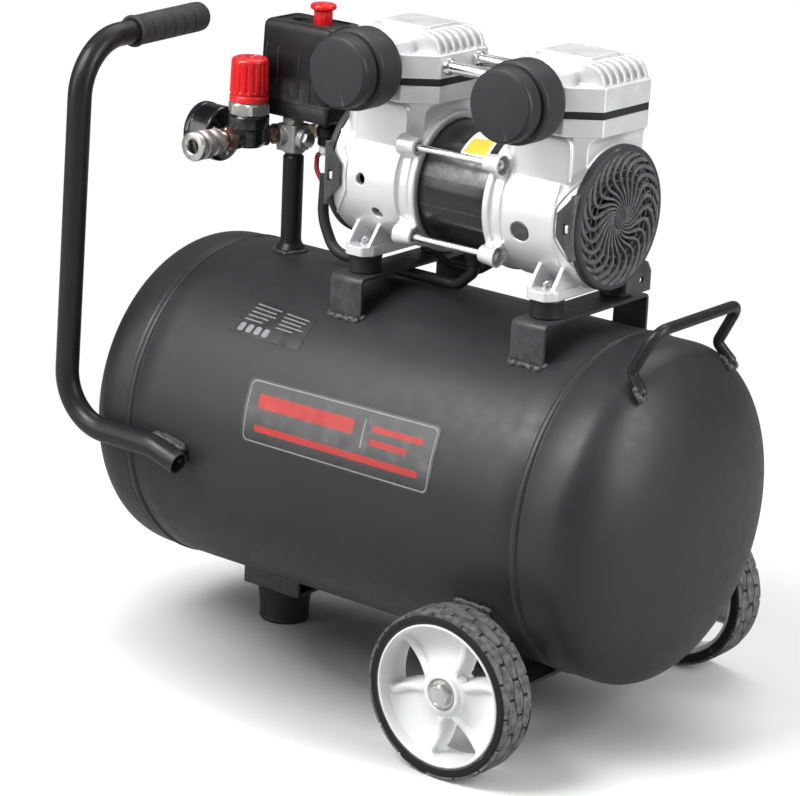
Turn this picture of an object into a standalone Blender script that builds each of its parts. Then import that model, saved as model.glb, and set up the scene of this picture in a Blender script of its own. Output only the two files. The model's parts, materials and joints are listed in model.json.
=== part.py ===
"""Horizontal-tank, twin-cylinder, oil-free air compressor on two wheels and a rubber foot.

World frame: +X along the tank towards the wheels, -Y towards the front, +Z up.
"left" is -X, "right" is +X, "front" is -Y and "rear" is +Y.
The pieces are placed from the middle between the tank's weld seams, on the floor, and shifted
at the end so that the origin lies under the middle of the whole object's box.
Lengths are in millimetres; MM turns them into Blender's metres.
"""

import math

import bmesh
import bpy
from mathutils import Matrix, Vector

MM = 0.001
SIDES = (("left", -1), ("right", 1))     # name, sign of X
PLACES = (("front", -1), ("rear", 1))    # name, sign of Y

# ---------------------------------------------------------------- driving dimensions
CENTRE_X = 8.435          # the box's middle, measured from the middle between the seams
GAP = 0.35                # between neighbouring pieces
RUN = 0.35                # radial running clearance

TANK_R = 135.0
TANK_Z = 184.1            # height of the tank's axis
TANK_WALL = 2.5
TANK_TOP = TANK_Z + TANK_R
SEAM_X = 193.4            # half the distance between the two weld seams
END_WHEEL = (30.5, 53.6, 2.10)   # straight flange, dish depth, fullness exponent
END_HANDLE = (5.7, 53.0, 3.70)
BEAD_HEIGHT = 0.9
BEAD_CREST = 1.6          # half width of a weld bead's flat top
BEAD_FOOT = 3.2           # half width of a weld bead on the tank
RISER_X, RISER_PORT_R = -142.0, 8.9
DRAIN_X, DRAIN_PORT_R = 70.0, 6.6

HANDLE_Y = -145.9
HANDLE_R = 9.6
GRIP_DEPTH = 82.0         # length of tube inside the grip

BRACKET_X = {"left": -27.0, "right": 148.6}
BRACKET_HALF_WIDTH = 15.5
BRACKET_Y = 69.3          # half the distance over a bracket's two legs
BRACKET_TOP = 333.3
PLATE = 3.0               # sheet thickness of every bracket
SHOULDER_R = 6.0
MOUNT_Y = 46.0            # rubber mounts, from the middle plane

WHEEL_R = 65.8
WHEEL_X = 159.4
WHEEL_OUT = 175.5         # outer face of each wheel, from the middle plane
WHEEL_WIDTH = 34.0
AXLE_R = 6.0
AXLE_PLATE_X = (132.0, 170.0)
AXLE_PLATE_Z = 45.6
AXLE_LEG_Y = 122.0        # outer face of each leg

FOOT_X = -135.2
FOOT_PLATE_Z = 30.4
FOOT_PLATE_Y = 22.0

MANIFOLD_X = -143.5
OUTLET_Z = 416.0
GAUGE_Z = 412.0
VALVE_Z = 414.0
VALVE_RING_Y = 47.0
HOOP_R, HOOP_WIRE_R = 9.0, 1.2
REGULATOR_X, REGULATOR_Y = -164.0, -31.5
REGULATOR_AT = (REGULATOR_X, REGULATOR_Y, 13.0)     # local frame of its body and knob
SWITCH_AT = (-9.1, 12.0, -4.9)                      # local frame of the pressure switch
SWITCH_MIDDLE = -126.75                             # along X in that frame
SWITCH_KNOB_AT = (-126.1, *SWITCH_AT[1:])

PUMP_X = 56.8             # middle of the motor
PUMP_Z = 406.7            # crankshaft height
PUMP_AT = (PUMP_X, 0, PUMP_Z)
CYLINDER_REACH = 76.3     # each cylinder's distance from the middle of the motor
CASE_R = 55.5
BORE_R = 28.1
THROW = 8.5               # crank throw, half the stroke
SHAFT_R = 6.0
TIE_Y, TIE_Z = 51.6, 35.2        # tie-rod places about the crankshaft
DECK_Z = 472.2            # where each cylinder sits on its crankcase
GASKET_Z = 486.1
HEAD_Z = 491.5            # underside of the cylinder heads
FILTER_Z = 498.5
# Octagons: half length in X, half of its edge in Y, half width in Y, half of its edge in X.
CASE_OCTAGON = (37.0, 24.0, 43.0, 20.0)
CYLINDER_OCTAGON = (44.9, 29.2, 49.1, 22.2)
HEAD_OCTAGON = (45.3, 29.5, 49.5, 22.3)

ALONG_X = (0, math.pi / 2, 0)          # local Z points to +X
ALONG_LEFT = (0, -math.pi / 2, 0)      # local Z points to -X
ALONG_FRONT = (math.pi / 2, 0, 0)      # local Z points to -Y, local Y to +Z
ALONG_BACK = (-math.pi / 2, 0, 0)      # local Z points to +Y
SECTION = (math.pi, -math.pi / 2, 0)   # local X points to +Z, local Y to -Y, local Z to +X

# ---------------------------------------------------------------- materials
POWDER = dict(rgb=(0.055, 0.056, 0.060), rough=0.42, metal=0.1)
CAST = dict(rgb=(0.62, 0.62, 0.62), rough=0.45, metal=0.6)
ZINC = dict(rgb=(0.70, 0.70, 0.69), rough=0.28, metal=1.0)
BLACK_PLASTIC = dict(rgb=(0.035, 0.035, 0.038), rough=0.45)
GREY_PLASTIC = dict(rgb=(0.09, 0.09, 0.095), rough=0.5)
RUBBER = dict(rgb=(0.045, 0.045, 0.048), rough=0.75)
RED = dict(rgb=(0.62, 0.015, 0.02), rough=0.3)
BRASS = dict(rgb=(0.60, 0.42, 0.20), rough=0.3, metal=1.0)
CHROME = dict(rgb=(0.85, 0.85, 0.86), rough=0.08, metal=1.0)
WHITE = dict(rgb=(0.83, 0.83, 0.82), rough=0.4)
STEEL = dict(rgb=(0.45, 0.45, 0.46), rough=0.35, metal=1.0)


def material(name, rgb, rough, metal=0.0):
    mat = bpy.data.materials.new(name)
    mat.use_nodes = True
    shader = mat.node_tree.nodes["Principled BSDF"]
    shader.inputs["Base Color"].default_value = (*rgb, 1.0)
    shader.inputs["Roughness"].default_value = rough
    shader.inputs["Metallic"].default_value = metal
    mat.diffuse_color = (*rgb, 1.0)
    return mat


# ---------------------------------------------------------------- objects and booleans
def to_object(name, bm, look, loc=(0, 0, 0), rot=(0, 0, 0)):
    """Turns a bmesh in mm into a named object in metres, with its own material."""
    bmesh.ops.scale(bm, vec=(MM, MM, MM), verts=bm.verts)
    bmesh.ops.recalc_face_normals(bm, faces=bm.faces)
    mesh = bpy.data.meshes.new(name)
    bm.to_mesh(mesh)
    bm.free()
    obj = bpy.data.objects.new(name, mesh)
    bpy.context.scene.collection.objects.link(obj)
    obj.location = [c * MM for c in loc]
    obj.rotation_euler = rot
    if look is not None:
        mesh.materials.append(material(name, **look))
    return obj


def combine(obj, bm, operation, loc, rot):
    """Boolean of an object with a helper solid, baked into the object's mesh."""
    tool = to_object("helper", bm, None, loc, rot)
    modifier = obj.modifiers.new("combine", "BOOLEAN")
    modifier.operation = operation
    modifier.solver = "EXACT"
    modifier.object = tool
    bpy.context.view_layer.update()
    graph = bpy.context.evaluated_depsgraph_get()
    baked = bpy.data.meshes.new_from_object(obj.evaluated_get(graph))
    obj.modifiers.clear()
    looks = list(obj.data.materials)
    old = obj.data
    obj.data = baked
    bpy.data.meshes.remove(old)
    bpy.data.objects.remove(tool, do_unlink=True)
    # Tidy the slivers and split flats that the boolean leaves.
    clean = bmesh.new()
    clean.from_mesh(baked)
    bmesh.ops.remove_doubles(clean, verts=clean.verts, dist=2e-6)
    bmesh.ops.dissolve_degenerate(clean, edges=clean.edges, dist=1e-6)
    bmesh.ops.dissolve_limit(clean, angle_limit=math.radians(0.2),
                             verts=clean.verts, edges=clean.edges)
    for face in clean.faces:
        face.material_index = 0
    clean.to_mesh(baked)
    clean.free()
    baked.materials.clear()
    for look in looks:
        baked.materials.append(look)


def add(obj, bm, loc=(0, 0, 0), rot=(0, 0, 0)):
    combine(obj, bm, "UNION", loc, rot)


def cut(obj, bm, loc=(0, 0, 0), rot=(0, 0, 0)):
    combine(obj, bm, "DIFFERENCE", loc, rot)


def pivot(obj, centre):
    """Moves an object's origin onto its joint's axis, and leaves its mesh where it is."""
    target = Vector(centre) * MM
    bpy.context.view_layer.update()
    world = obj.matrix_world.copy()
    obj.data.transform(Matrix.Translation(-target) @ world)
    obj.matrix_world = Matrix.Translation(target)


# ---------------------------------------------------------------- solids
def bridge(bm, low, high):
    """Quads between two closed rows with the same number of vertices."""
    count = len(low)
    for k in range(count):
        n = (k + 1) % count
        bm.faces.new((low[k], low[n], high[n], high[k]))


def turned(profile, seg, ring=False, phase=0.0):
    """Surface of revolution about local Z from (radius, height) points.

    A ring's profile is closed on itself; any other starts and ends on the axis.
    """
    bm = bmesh.new()
    rows = []
    for r, h in profile:
        if r < 1e-6:
            rows.append([bm.verts.new((0, 0, h))])
        else:
            angles = [phase + 2 * math.pi * k / seg for k in range(seg)]
            rows.append([bm.verts.new((r * math.cos(a), r * math.sin(a), h)) for a in angles])
    pairs = list(zip(rows, rows[1:]))
    if ring:
        pairs.append((rows[-1], rows[0]))
    for low, high in pairs:
        if len(low) == 1:
            for k in range(seg):
                bm.faces.new((low[0], high[(k + 1) % seg], high[k]))
        elif len(high) == 1:
            for k in range(seg):
                bm.faces.new((low[k], low[(k + 1) % seg], high[0]))
        else:
            bridge(bm, low, high)
    return bm


def rod(radius, h0, h1, seg):
    """A plain bar along local Z."""
    return turned([(0, h0), (radius, h0), (radius, h1), (0, h1)], seg)


def loft(outlines):
    """Joins equal-length outlines [(z, points)] into one closed solid."""
    bm = bmesh.new()
    rows = [[bm.verts.new((x, y, z)) for x, y in points] for z, points in outlines]
    bm.faces.new(rows[0][::-1])
    bm.faces.new(rows[-1])
    for low, high in zip(rows, rows[1:]):
        bridge(bm, low, high)
    return bm


def prism(outline, h0, h1):
    """A polygon in local XY extruded from h0 to h1."""
    return loft([(h0, outline), (h1, outline)])


def block(x_ends, y_ends, z_ends):
    """A box between two places on each axis, given in either order."""
    (x0, x1), (y0, y1) = sorted(x_ends), sorted(y_ends)
    return prism([(x0, y0), (x1, y0), (x1, y1), (x0, y1)], *sorted(z_ends))


def swept(path, radius, seg):
    """A round bar along a path, with flat ends."""
    bm = bmesh.new()
    rows = []
    tangent = (path[1] - path[0]).normalized()
    side = tangent.orthogonal().normalized()
    for k, p in enumerate(path):
        if 0 < k < len(path) - 1:
            new = ((path[k + 1] - p).normalized() + (p - path[k - 1]).normalized()).normalized()
        elif k:
            new = (p - path[k - 1]).normalized()
        else:
            new = tangent
        # Carry the cross-section along without twist.
        side = tangent.rotation_difference(new) @ side
        side = (side - new * side.dot(new)).normalized()
        tangent = new
        other = tangent.cross(side)
        angles = [2 * math.pi * j / seg for j in range(seg)]
        rows.append([bm.verts.new(p + (side * math.cos(a) + other * math.sin(a)) * radius)
                     for a in angles])
    bm.faces.new(rows[0][::-1])
    bm.faces.new(rows[-1])
    for low, high in zip(rows, rows[1:]):
        bridge(bm, low, high)
    return bm


# ---------------------------------------------------------------- outlines and paths
def rounded(x0, x1, y0, y1, r, steps):
    """Rectangle with rounded corners, anticlockwise."""
    corners = ((x1 - r, y1 - r, 0), (x0 + r, y1 - r, 90),
               (x0 + r, y0 + r, 180), (x1 - r, y0 + r, 270))
    points = []
    for corner_x, corner_y, start in corners:
        for k in range(steps + 1):
            a = math.radians(start + 90 * k / steps)
            points.append((corner_x + r * math.cos(a), corner_y + r * math.sin(a)))
    return points


def octagon(half_x, edge_y, half_y, edge_x):
    return [(half_x, -edge_y), (half_x, edge_y), (edge_x, half_y), (-edge_x, half_y),
            (-half_x, edge_y), (-half_x, -edge_y), (-edge_x, -half_y), (edge_x, -half_y)]


def arc(radius, middle, offsets):
    """Points at offsets in degrees either side of a middle angle in radians."""
    angles = [middle + math.radians(d) for d in offsets]
    return [(radius * math.cos(a), radius * math.sin(a)) for a in angles]


def bent(corners, radii, steps):
    """A path through the corners with an arc of the given radius at each inner one."""
    path = [Vector(corners[0])]
    for k, radius in enumerate(radii, start=1):
        p = Vector(corners[k])
        back = (Vector(corners[k - 1]) - p).normalized()
        ahead = (Vector(corners[k + 1]) - p).normalized()
        half = back.angle(ahead) / 2
        reach = radius / math.tan(half)
        centre = p + (back + ahead).normalized() * (radius / math.sin(half))
        start, end = p + back * reach - centre, p + ahead * reach - centre
        sweep = start.angle(end)
        for s in range(steps + 1):
            t = s / steps
            path.append(centre + (start * math.sin((1 - t) * sweep)
                                  + end * math.sin(t * sweep)) / math.sin(sweep))
    path.append(Vector(corners[-1]))
    return path


def tank_rise(y):
    """Height of the tank's surface above its axis, at y from the middle plane."""
    return math.sqrt(TANK_R ** 2 - y ** 2)


for old_object in list(bpy.data.objects):
    bpy.data.objects.remove(old_object, do_unlink=True)


# ================================================================ air tank
def dish(flange, depth, power, shrink, steps):
    """(radius, distance beyond the seam) along one dished end, from apex to rim."""
    points = []
    for k in range(steps):
        a = math.pi / 2 * k / steps
        points.append(((TANK_R - shrink) * math.sin(a) ** (2 / power),
                       flange + (depth - shrink) * math.cos(a) ** (2 / power)))
    return points + [(TANK_R - shrink, flange)]


def tank_profile(shrink, steps, beads=()):
    left = [(r, -(SEAM_X + d)) for r, d in dish(*END_HANDLE, shrink, steps)]
    right = [(r, SEAM_X + d) for r, d in dish(*END_WHEEL, shrink, steps)]
    return left + list(beads) + right[::-1]


right_bead = [(TANK_R, SEAM_X - BEAD_FOOT), (TANK_R + BEAD_HEIGHT, SEAM_X - BEAD_CREST),
              (TANK_R + BEAD_HEIGHT, SEAM_X + BEAD_CREST), (TANK_R, SEAM_X + BEAD_FOOT)]
left_bead = [(r, -x) for r, x in reversed(right_bead)]
TANK_AT = (0, 0, TANK_Z)
tank = to_object("air_tank", turned(tank_profile(0, 7, left_bead + right_bead), 36), POWDER,
                 TANK_AT, ALONG_X)
cut(tank, turned(tank_profile(TANK_WALL, 4), 24), TANK_AT, ALONG_X)
cut(tank, rod(RISER_PORT_R, TANK_Z + 100, TANK_Z + 150, 12), (RISER_X, 0, 0))
cut(tank, rod(DRAIN_PORT_R, TANK_Z - 150, TANK_Z - 100, 12), (DRAIN_X, 0, 0))

# Riser pipe, with a collar on the tank and a narrower neck inside the manifold
to_object("riser_pipe", turned([
    (5.0, TANK_TOP - 7), (8.5, TANK_TOP - 7), (8.5, TANK_TOP + 0.5), (14.0, TANK_TOP + 0.5),
    (14.0, TANK_TOP + 3.5), (10.0, TANK_TOP + 7.5), (8.5, TANK_TOP + 8.5),
    (8.5, 395.5), (6.8, 398.5), (6.8, 402.2), (5.0, 402.2)], 14, ring=True),
    POWDER, (RISER_X, 0, 0))

# Drain valve under the tank; its knob has a slot across the bottom
to_object("drain_valve_body", turned([
    (2.0, 37.5), (7.5, 37.5), (8.2, 38.5), (8.2, 46.5), (6.2, 47.5), (6.2, 54.0), (2.0, 54.0)],
    12, ring=True), BRASS, (DRAIN_X, 0, 0))
drain_knob = to_object("drain_valve_knob", turned([
    (0, 25.0), (9.0, 25.0), (10.0, 27.0), (10.0, 33.0), (7.0, 36.9), (0, 36.9)], 10),
    BLACK_PLASTIC, (DRAIN_X, 0, 0))
cut(drain_knob, block((-12, 12), (-1.5, 1.5), (20, 28.5)), (DRAIN_X, 0, 0))
pivot(drain_knob, (DRAIN_X, 0, 30.0))

# ================================================================ handles
# Trolley handle: from the front of the tank out past its left end, up, and in to the grip
top_corner = (-239.2, HANDLE_Y, 493.2)
grip_end = (-246.4, -4.0, 495.9)
trolley_path = bent([(-128.0, HANDLE_Y, 172.5), (-157.0, HANDLE_Y, 181.0),
                     (-253.3, HANDLE_Y, 181.0), top_corner, grip_end], radii=[40, 42, 45], steps=5)
to_object("trolley_handle", swept(trolley_path, HANDLE_R, 12), POWDER)

# Grip: a capped rubber sleeve with two grooves
grip_direction = (Vector(grip_end) - Vector(top_corner)).normalized()
grip_start = tuple(Vector(grip_end) - grip_direction * GRIP_DEPTH)
grip_turn = grip_direction.to_track_quat("Z", "Y").to_euler()
grip_profile = [(0, 0), (12.0, 0), (13.0, 1.5), (13.0, 5.0), (12.2, 6.0)]
for groove in (40, 59):
    grip_profile += [(12.2, groove), (11.3, groove + 1.0), (12.2, groove + 2.0)]
grip_profile += [(12.2, 80.0), (11.0, 85.0), (7.0, 88.5), (0, 89.5)]
grip = to_object("handle_grip", turned(grip_profile, 14), RUBBER, grip_start, grip_turn)
cut(grip, rod(HANDLE_R + 0.5, -3, GRIP_DEPTH + 0.6, 12), grip_start, grip_turn)

# Lift handle on the wheel-end dish
lift_path = bent([(249.2, -60.5, 297.2), (236.2, -57.6, 311.0), (254.5, -56.2, 345.5),
                  (254.5, 56.2, 345.5), (236.2, 57.6, 311.0), (249.2, 60.5, 297.2)],
                 radii=[5, 13, 13, 5], steps=3)
to_object("lift_handle", swept(lift_path, 4.3, 8), POWDER)


# ================================================================ motor brackets and mounts
def channel_edge(inset, steps):
    """(y, z) along one face of the inverted channel, from the front leg to the rear one."""
    radius = SHOULDER_R - inset
    half = []
    for k in range(steps + 1):
        a = math.pi / 2 * k / steps
        half.append((BRACKET_Y - SHOULDER_R + radius * math.sin(a),
                     BRACKET_TOP - SHOULDER_R + radius * math.cos(a)))
    half.append((BRACKET_Y - inset, TANK_Z + tank_rise(BRACKET_Y - PLATE) + GAP))
    return [(-y, z) for y, z in reversed(half)] + half


channel = [(z, y) for y, z in channel_edge(0, 3) + channel_edge(PLATE, 2)[::-1]]
for side, bracket_x in BRACKET_X.items():
    to_object(f"mount_bracket_{side}", prism(channel, -BRACKET_HALF_WIDTH, BRACKET_HALF_WIDTH),
              POWDER, (bracket_x, 0, 0), SECTION)
    for place, sign in PLACES:
        # Rubber block, stud and nut in one piece
        to_object(f"rubber_mount_{place}_{side}", turned([
            (0, BRACKET_TOP + GAP), (13.3, BRACKET_TOP + GAP), (13.3, 347.6), (3.0, 347.6),
            (3.0, 356.2), (5.6, 356.2), (5.6, 361.0), (3.0, 361.0), (3.0, 365.0), (0, 365.0)],
            10), RUBBER, (bracket_x, sign * MOUNT_Y, 0))

# ================================================================ wheels
axle_bracket = to_object("axle_bracket", block(
    AXLE_PLATE_X, (-AXLE_LEG_Y, AXLE_LEG_Y), (AXLE_PLATE_Z, AXLE_PLATE_Z + PLATE)), POWDER)
leg_left, leg_right = AXLE_PLATE_X
leg_outline = [(leg_left, AXLE_PLATE_Z), (leg_right, AXLE_PLATE_Z), (leg_right, 113.0),   # x, z
               (165.0, 119.8), (137.0, 119.8), (leg_left, 113.0)]
for sign in (-1, 1):
    leg_y = sign * (AXLE_LEG_Y - PLATE / 2)
    add(axle_bracket, prism(leg_outline, -PLATE / 2, PLATE / 2), (0, leg_y, 0), ALONG_FRONT)
    cut(axle_bracket, rod(AXLE_R + 0.5, -4, 4, 12), (WHEEL_X, leg_y, WHEEL_R), ALONG_FRONT)


def build_wheel(place, sign):
    """Rim, tyre and bolt; heights run outwards from the wheel's inner face."""
    turn = ALONG_FRONT if sign < 0 else ALONG_BACK
    base = (WHEEL_X, sign * (WHEEL_OUT - WHEEL_WIDTH), WHEEL_R)
    middle = (WHEEL_X, sign * (WHEEL_OUT - WHEEL_WIDTH / 2), WHEEL_R)
    hub_r = AXLE_R + RUN
    rim = to_object(f"wheel_rim_{place}", turned([
        (hub_r, 0.4), (14.0, 0.4), (14.0, 13.5), (53.2, 13.5), (53.2, 2.0), (56.4, 2.0),
        (56.4, 33.0), (53.2, 33.0), (52.0, 19.5), (19.0, 19.5), (14.5, 29.0), (11.8, 29.0),
        (11.8, 24.0), (hub_r, 24.0)], 20, ring=True), WHITE, base, turn)
    for k in range(3):
        a = math.radians(45 + 120 * k)
        window = arc(50.3, a, (-24, -12, 0, 12, 24)) + arc(24.0, a, (17, 0, -17))
        cut(rim, prism(window, 8, 30), base, turn)
    tyre = to_object(f"tyre_{place}", turned([
        (56.9, 1.0), (63.0, 0.2), (WHEEL_R, 5.0), (WHEEL_R, 29.0), (63.0, 33.8), (56.9, 33.0)],
        28, ring=True, phase=-math.pi / 2), RUBBER, base, turn)
    # Bolt with two collars inboard of the wheel and a stepped cap outboard
    to_object(f"wheel_bolt_{place}", turned([
        (0, -31.0), (AXLE_R, -31.0), (AXLE_R, -29.0), (9.5, -29.0), (9.5, -22.9),
        (AXLE_R, -22.9), (AXLE_R, -19.1), (9.5, -19.1), (9.5, 0.0), (AXLE_R, 0.0),
        (AXLE_R, 24.4), (10.8, 24.4), (10.8, 26.0), (8.8, 26.0), (8.8, 32.0), (0, 32.0)], 12),
        ZINC, base, turn)
    pivot(rim, middle)
    pivot(tyre, middle)


for place, sign in PLACES:
    build_wheel(place, sign)

# ================================================================ rubber foot
FOOT_PLATE_X = (FOOT_X - 27, FOOT_X + 32)
foot_bracket = to_object("foot_bracket", block(
    FOOT_PLATE_X, (-FOOT_PLATE_Y, FOOT_PLATE_Y), (FOOT_PLATE_Z, FOOT_PLATE_Z + PLATE)), POWDER)
foot_leg_y = FOOT_PLATE_Y - PLATE      # inner face of each leg
for sign in (-1, 1):
    add(foot_bracket, block(FOOT_PLATE_X, (sign * foot_leg_y, sign * FOOT_PLATE_Y),
                            (FOOT_PLATE_Z, TANK_Z - tank_rise(foot_leg_y) - GAP)))
to_object("rubber_foot", turned([
    (0, 4.0), (9.0, 4.0), (10.0, 0), (21.0, 0), (22.9, 30.0), (0, 30.0)], 18),
    RUBBER, (FOOT_X, 0, 0))

# ================================================================ manifold and safety valve
# Manifold: a block with a neck on top, a pipe to the regulator and a hexagonal plug
manifold = to_object("manifold", prism(
    rounded(MANIFOLD_X - 10, MANIFOLD_X + 10, -10, 10, 2.5, 2), 402.6, 425.0), CAST)
add(manifold, rod(6.0, 424.0, 430.1, 10), (MANIFOLD_X, 0, 0))
to_regulator = Vector((REGULATOR_X - MANIFOLD_X, REGULATOR_Y, 0.0))
add(manifold, rod(6.0, 8.0, to_regulator.length - 17.2, 10), (MANIFOLD_X, 0, OUTLET_Z),
    tuple(to_regulator.to_track_quat("Z", "Y").to_euler()))
add(manifold, rod(6.5, 9.0, 14.5, 6), (MANIFOLD_X, 0, 413.0), ALONG_X)
cut(manifold, rod(4.0, 400.0, 418.0, 10), (RISER_X, 0, 0))

VALVE_AT = (MANIFOLD_X, 0, VALVE_Z)
to_object("safety_valve_body", turned([
    (1.8, 10.4), (5.0, 10.4), (5.0, 13.0), (7.4, 13.0), (7.4, 20.0), (6.0, 21.0),
    (6.0, 33.0), (4.8, 35.0), (1.8, 35.0)], 10, ring=True), BRASS, VALVE_AT, ALONG_BACK)

# Pull ring: a stem with a wire hoop
pull_ring = to_object("safety_valve_ring", rod(1.3, 28.0, 39.0, 8), STEEL, VALVE_AT, ALONG_BACK)
hoop = bmesh.new()
bmesh.ops.create_circle(
    hoop, cap_ends=False, radius=HOOP_WIRE_R, segments=6,
    matrix=Matrix.Translation((HOOP_R, 0, 0)) @ Matrix.Rotation(math.pi / 2, 4, "X"))
bmesh.ops.spin(hoop, geom=hoop.verts[:] + hoop.edges[:], cent=(0, 0, 0), axis=(0, 0, 1),
               angle=2 * math.pi, steps=12, use_merge=True)
bmesh.ops.remove_doubles(hoop, verts=hoop.verts, dist=1e-4)
add(pull_ring, hoop, (MANIFOLD_X, VALVE_RING_Y, VALVE_Z), ALONG_X)
pivot(pull_ring, (MANIFOLD_X, VALVE_RING_Y, VALVE_Z))

# ================================================================ pressure switch
switch_base = to_object("pressure_switch_base", prism(
    rounded(SWITCH_MIDDLE - 35.75, SWITCH_MIDDLE + 35.75, -23.5, 23.5, 4, 2), 435.5, 448.0),
    BLACK_PLASTIC, SWITCH_AT)
add(switch_base, rod(8.2, 411.8, 436.5, 12), (-107.5 + SWITCH_AT[0], *SWITCH_AT[1:]))


def switch_shell(stations, corner_r, steps):
    return loft([
        (z, [(SWITCH_MIDDLE + shift + x, y)
             for x, y in rounded(-half_x, half_x, -half_y, half_y, corner_r, steps)])
        for z, half_x, half_y, shift in stations])


# Stations of the cover and of its hollow: z, half length, half width, shift along X
COVER_STATIONS = [(448.4, 36.25, 24.0, 0.0), (507.5, 35.6, 21.6, 0.2),
                  (511.0, 33.0, 19.0, 0.2), (512.4, 27.0, 13.0, 0.2)]
COVER_WALL = 2.2
HOLLOW_STATIONS = [(446.0, 36.25 - COVER_WALL, 24.0 - COVER_WALL, 0.0), (508.0, 33.3, 19.2, 0.2)]
switch_cover = to_object("pressure_switch_cover", switch_shell(COVER_STATIONS, 4.5, 2),
                         BLACK_PLASTIC, SWITCH_AT)
cut(switch_cover, switch_shell(HOLLOW_STATIONS, 3, 1), SWITCH_AT)
cut(switch_cover, rod(7.8, 500.0, 520.0, 14), SWITCH_KNOB_AT)
switch_knob = to_object("switch_knob", turned([
    (0, 500.0), (7.3, 500.0), (7.3, 522.6), (9.8, 523.4), (10.2, 526.0), (8.8, 527.6),
    (0, 527.8)], 16), RED, SWITCH_KNOB_AT)
pivot(switch_knob, Vector(SWITCH_KNOB_AT) + Vector((0, 0, 512.0)))

# ================================================================ regulator, gauge, coupler
OUTLET_AT = (REGULATOR_X, REGULATOR_Y, OUTLET_Z)
GAUGE_AT = (REGULATOR_X, REGULATOR_Y, GAUGE_Z)

# Regulator body with a hexagonal collar and two bosses, for the outlet and the gauge
regulator = to_object("regulator_body", turned([
    (0, 394.0), (13.0, 394.0), (15.5, 397.0), (16.8, 398.5), (16.8, 419.0), (15.8, 420.5),
    (12.0, 420.5), (0, 420.5)], 20), BLACK_PLASTIC, REGULATOR_AT)
add(regulator, rod(17.2, 419.5, 430.4, 6), REGULATOR_AT)
add(regulator, rod(8.5, 12.0, 20.0, 10), OUTLET_AT, ALONG_FRONT)
add(regulator, rod(7.5, 12.0, 20.0, 8), GAUGE_AT, ALONG_LEFT)
regulator_knob = to_object("regulator_knob", turned([
    (0, 430.9), (15.7, 430.9), (15.9, 436.0), (15.1, 436.6), (15.1, 437.6), (15.6, 438.2),
    (14.9, 463.0), (13.4, 465.6), (0, 466.4)], 18), RED, REGULATOR_AT)
pivot(regulator_knob, Vector(REGULATOR_AT) + Vector((0, 0, 448.0)))

to_object("gauge_case", turned([
    (0, 20.4), (6.0, 20.4), (6.0, 24.5), (22.5, 24.5), (22.5, 43.0), (23.2, 43.6),
    (23.2, 49.5), (20.3, 49.5), (20.3, 44.5), (0, 44.5)], 18),
    BLACK_PLASTIC, GAUGE_AT, ALONG_LEFT)
needle = to_object("gauge_needle", rod(2.4, 44.9, 47.2, 8), RED, GAUGE_AT, ALONG_LEFT)
NEEDLE_CORNERS = ((138, 16.5), (228, 1.3), (318, 5.5), (408, 1.3))   # degrees, radius
pointer = [(math.cos(math.radians(a)) * r, math.sin(math.radians(a)) * r)
           for a, r in NEEDLE_CORNERS]
add(needle, prism(pointer, 45.4, 46.4), GAUGE_AT, ALONG_LEFT)
pivot(needle, (REGULATOR_X - 46.0, REGULATOR_Y, GAUGE_Z))

to_object("outlet_adaptor", turned([
    (3.0, 20.4), (8.0, 20.4), (8.6, 21.4), (8.6, 28.5), (6.5, 29.5), (6.5, 36.4), (3.0, 36.4)],
    8, ring=True), BRASS, OUTLET_AT, ALONG_FRONT)
to_object("coupler_body", turned([
    (3.0, 36.8), (9.8, 36.8), (10.6, 38.0), (10.6, 45.0), (8.6, 45.0), (8.6, 66.4),
    (7.6, 67.0), (5.4, 67.0), (5.4, 50.0), (3.0, 48.0)], 14, ring=True),
    CHROME, OUTLET_AT, ALONG_FRONT)
sleeve = to_object("coupler_sleeve", turned([
    (9.0, 49.6), (10.8, 49.6), (11.8, 50.6), (11.8, 57.5), (11.0, 58.2), (11.0, 59.6),
    (11.8, 60.3), (11.8, 65.0), (11.0, 66.2), (9.0, 66.2)], 16, ring=True),
    CHROME, OUTLET_AT, ALONG_FRONT)
pivot(sleeve, (REGULATOR_X, REGULATOR_Y - 58.0, OUTLET_Z))

# Cable from the switch, along the top of the tank and up to the motor
cable_path = bent([(-116.6, 12.0, 405.3), (-112.0, 3.0, 352.0), (-96.0, 0, 326.0),
                   (-60.0, 0, 325.0), (30.0, 0, 325.0), (45.0, 0, 338.0), (45.0, 0, 356.5)],
                  radii=[45, 22, 60, 14, 8], steps=3)
to_object("motor_cable", swept(cable_path, 4.5, 8), BLACK_PLASTIC)

# ================================================================ motor
to_object("motor_stator", turned([
    (28.4, -27.0), (40.0, -31.9), (48.6, -31.9), (49.2, -18.0), (49.2, 18.0), (48.6, 31.9),
    (40.0, 31.9), (28.4, 27.0)], 24, ring=True), BLACK_PLASTIC, PUMP_AT, ALONG_X)

# Shaft with the rotor in its middle and an eccentric on each side
shaft = to_object("rotor_shaft", turned([
    (0, -110), (SHAFT_R, -110), (SHAFT_R, -26), (27.4, -26), (27.4, 26), (SHAFT_R, 26),
    (SHAFT_R, 110), (0, 110)], 16), STEEL, PUMP_AT, ALONG_X)
for sign in (-1, 1):
    ends = sorted((sign * 62.0, sign * 71.4))
    add(shaft, rod(15.2, *ends, 16), (PUMP_X, 0, PUMP_Z - sign * THROW), ALONG_X)
pivot(shaft, PUMP_AT)

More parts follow.
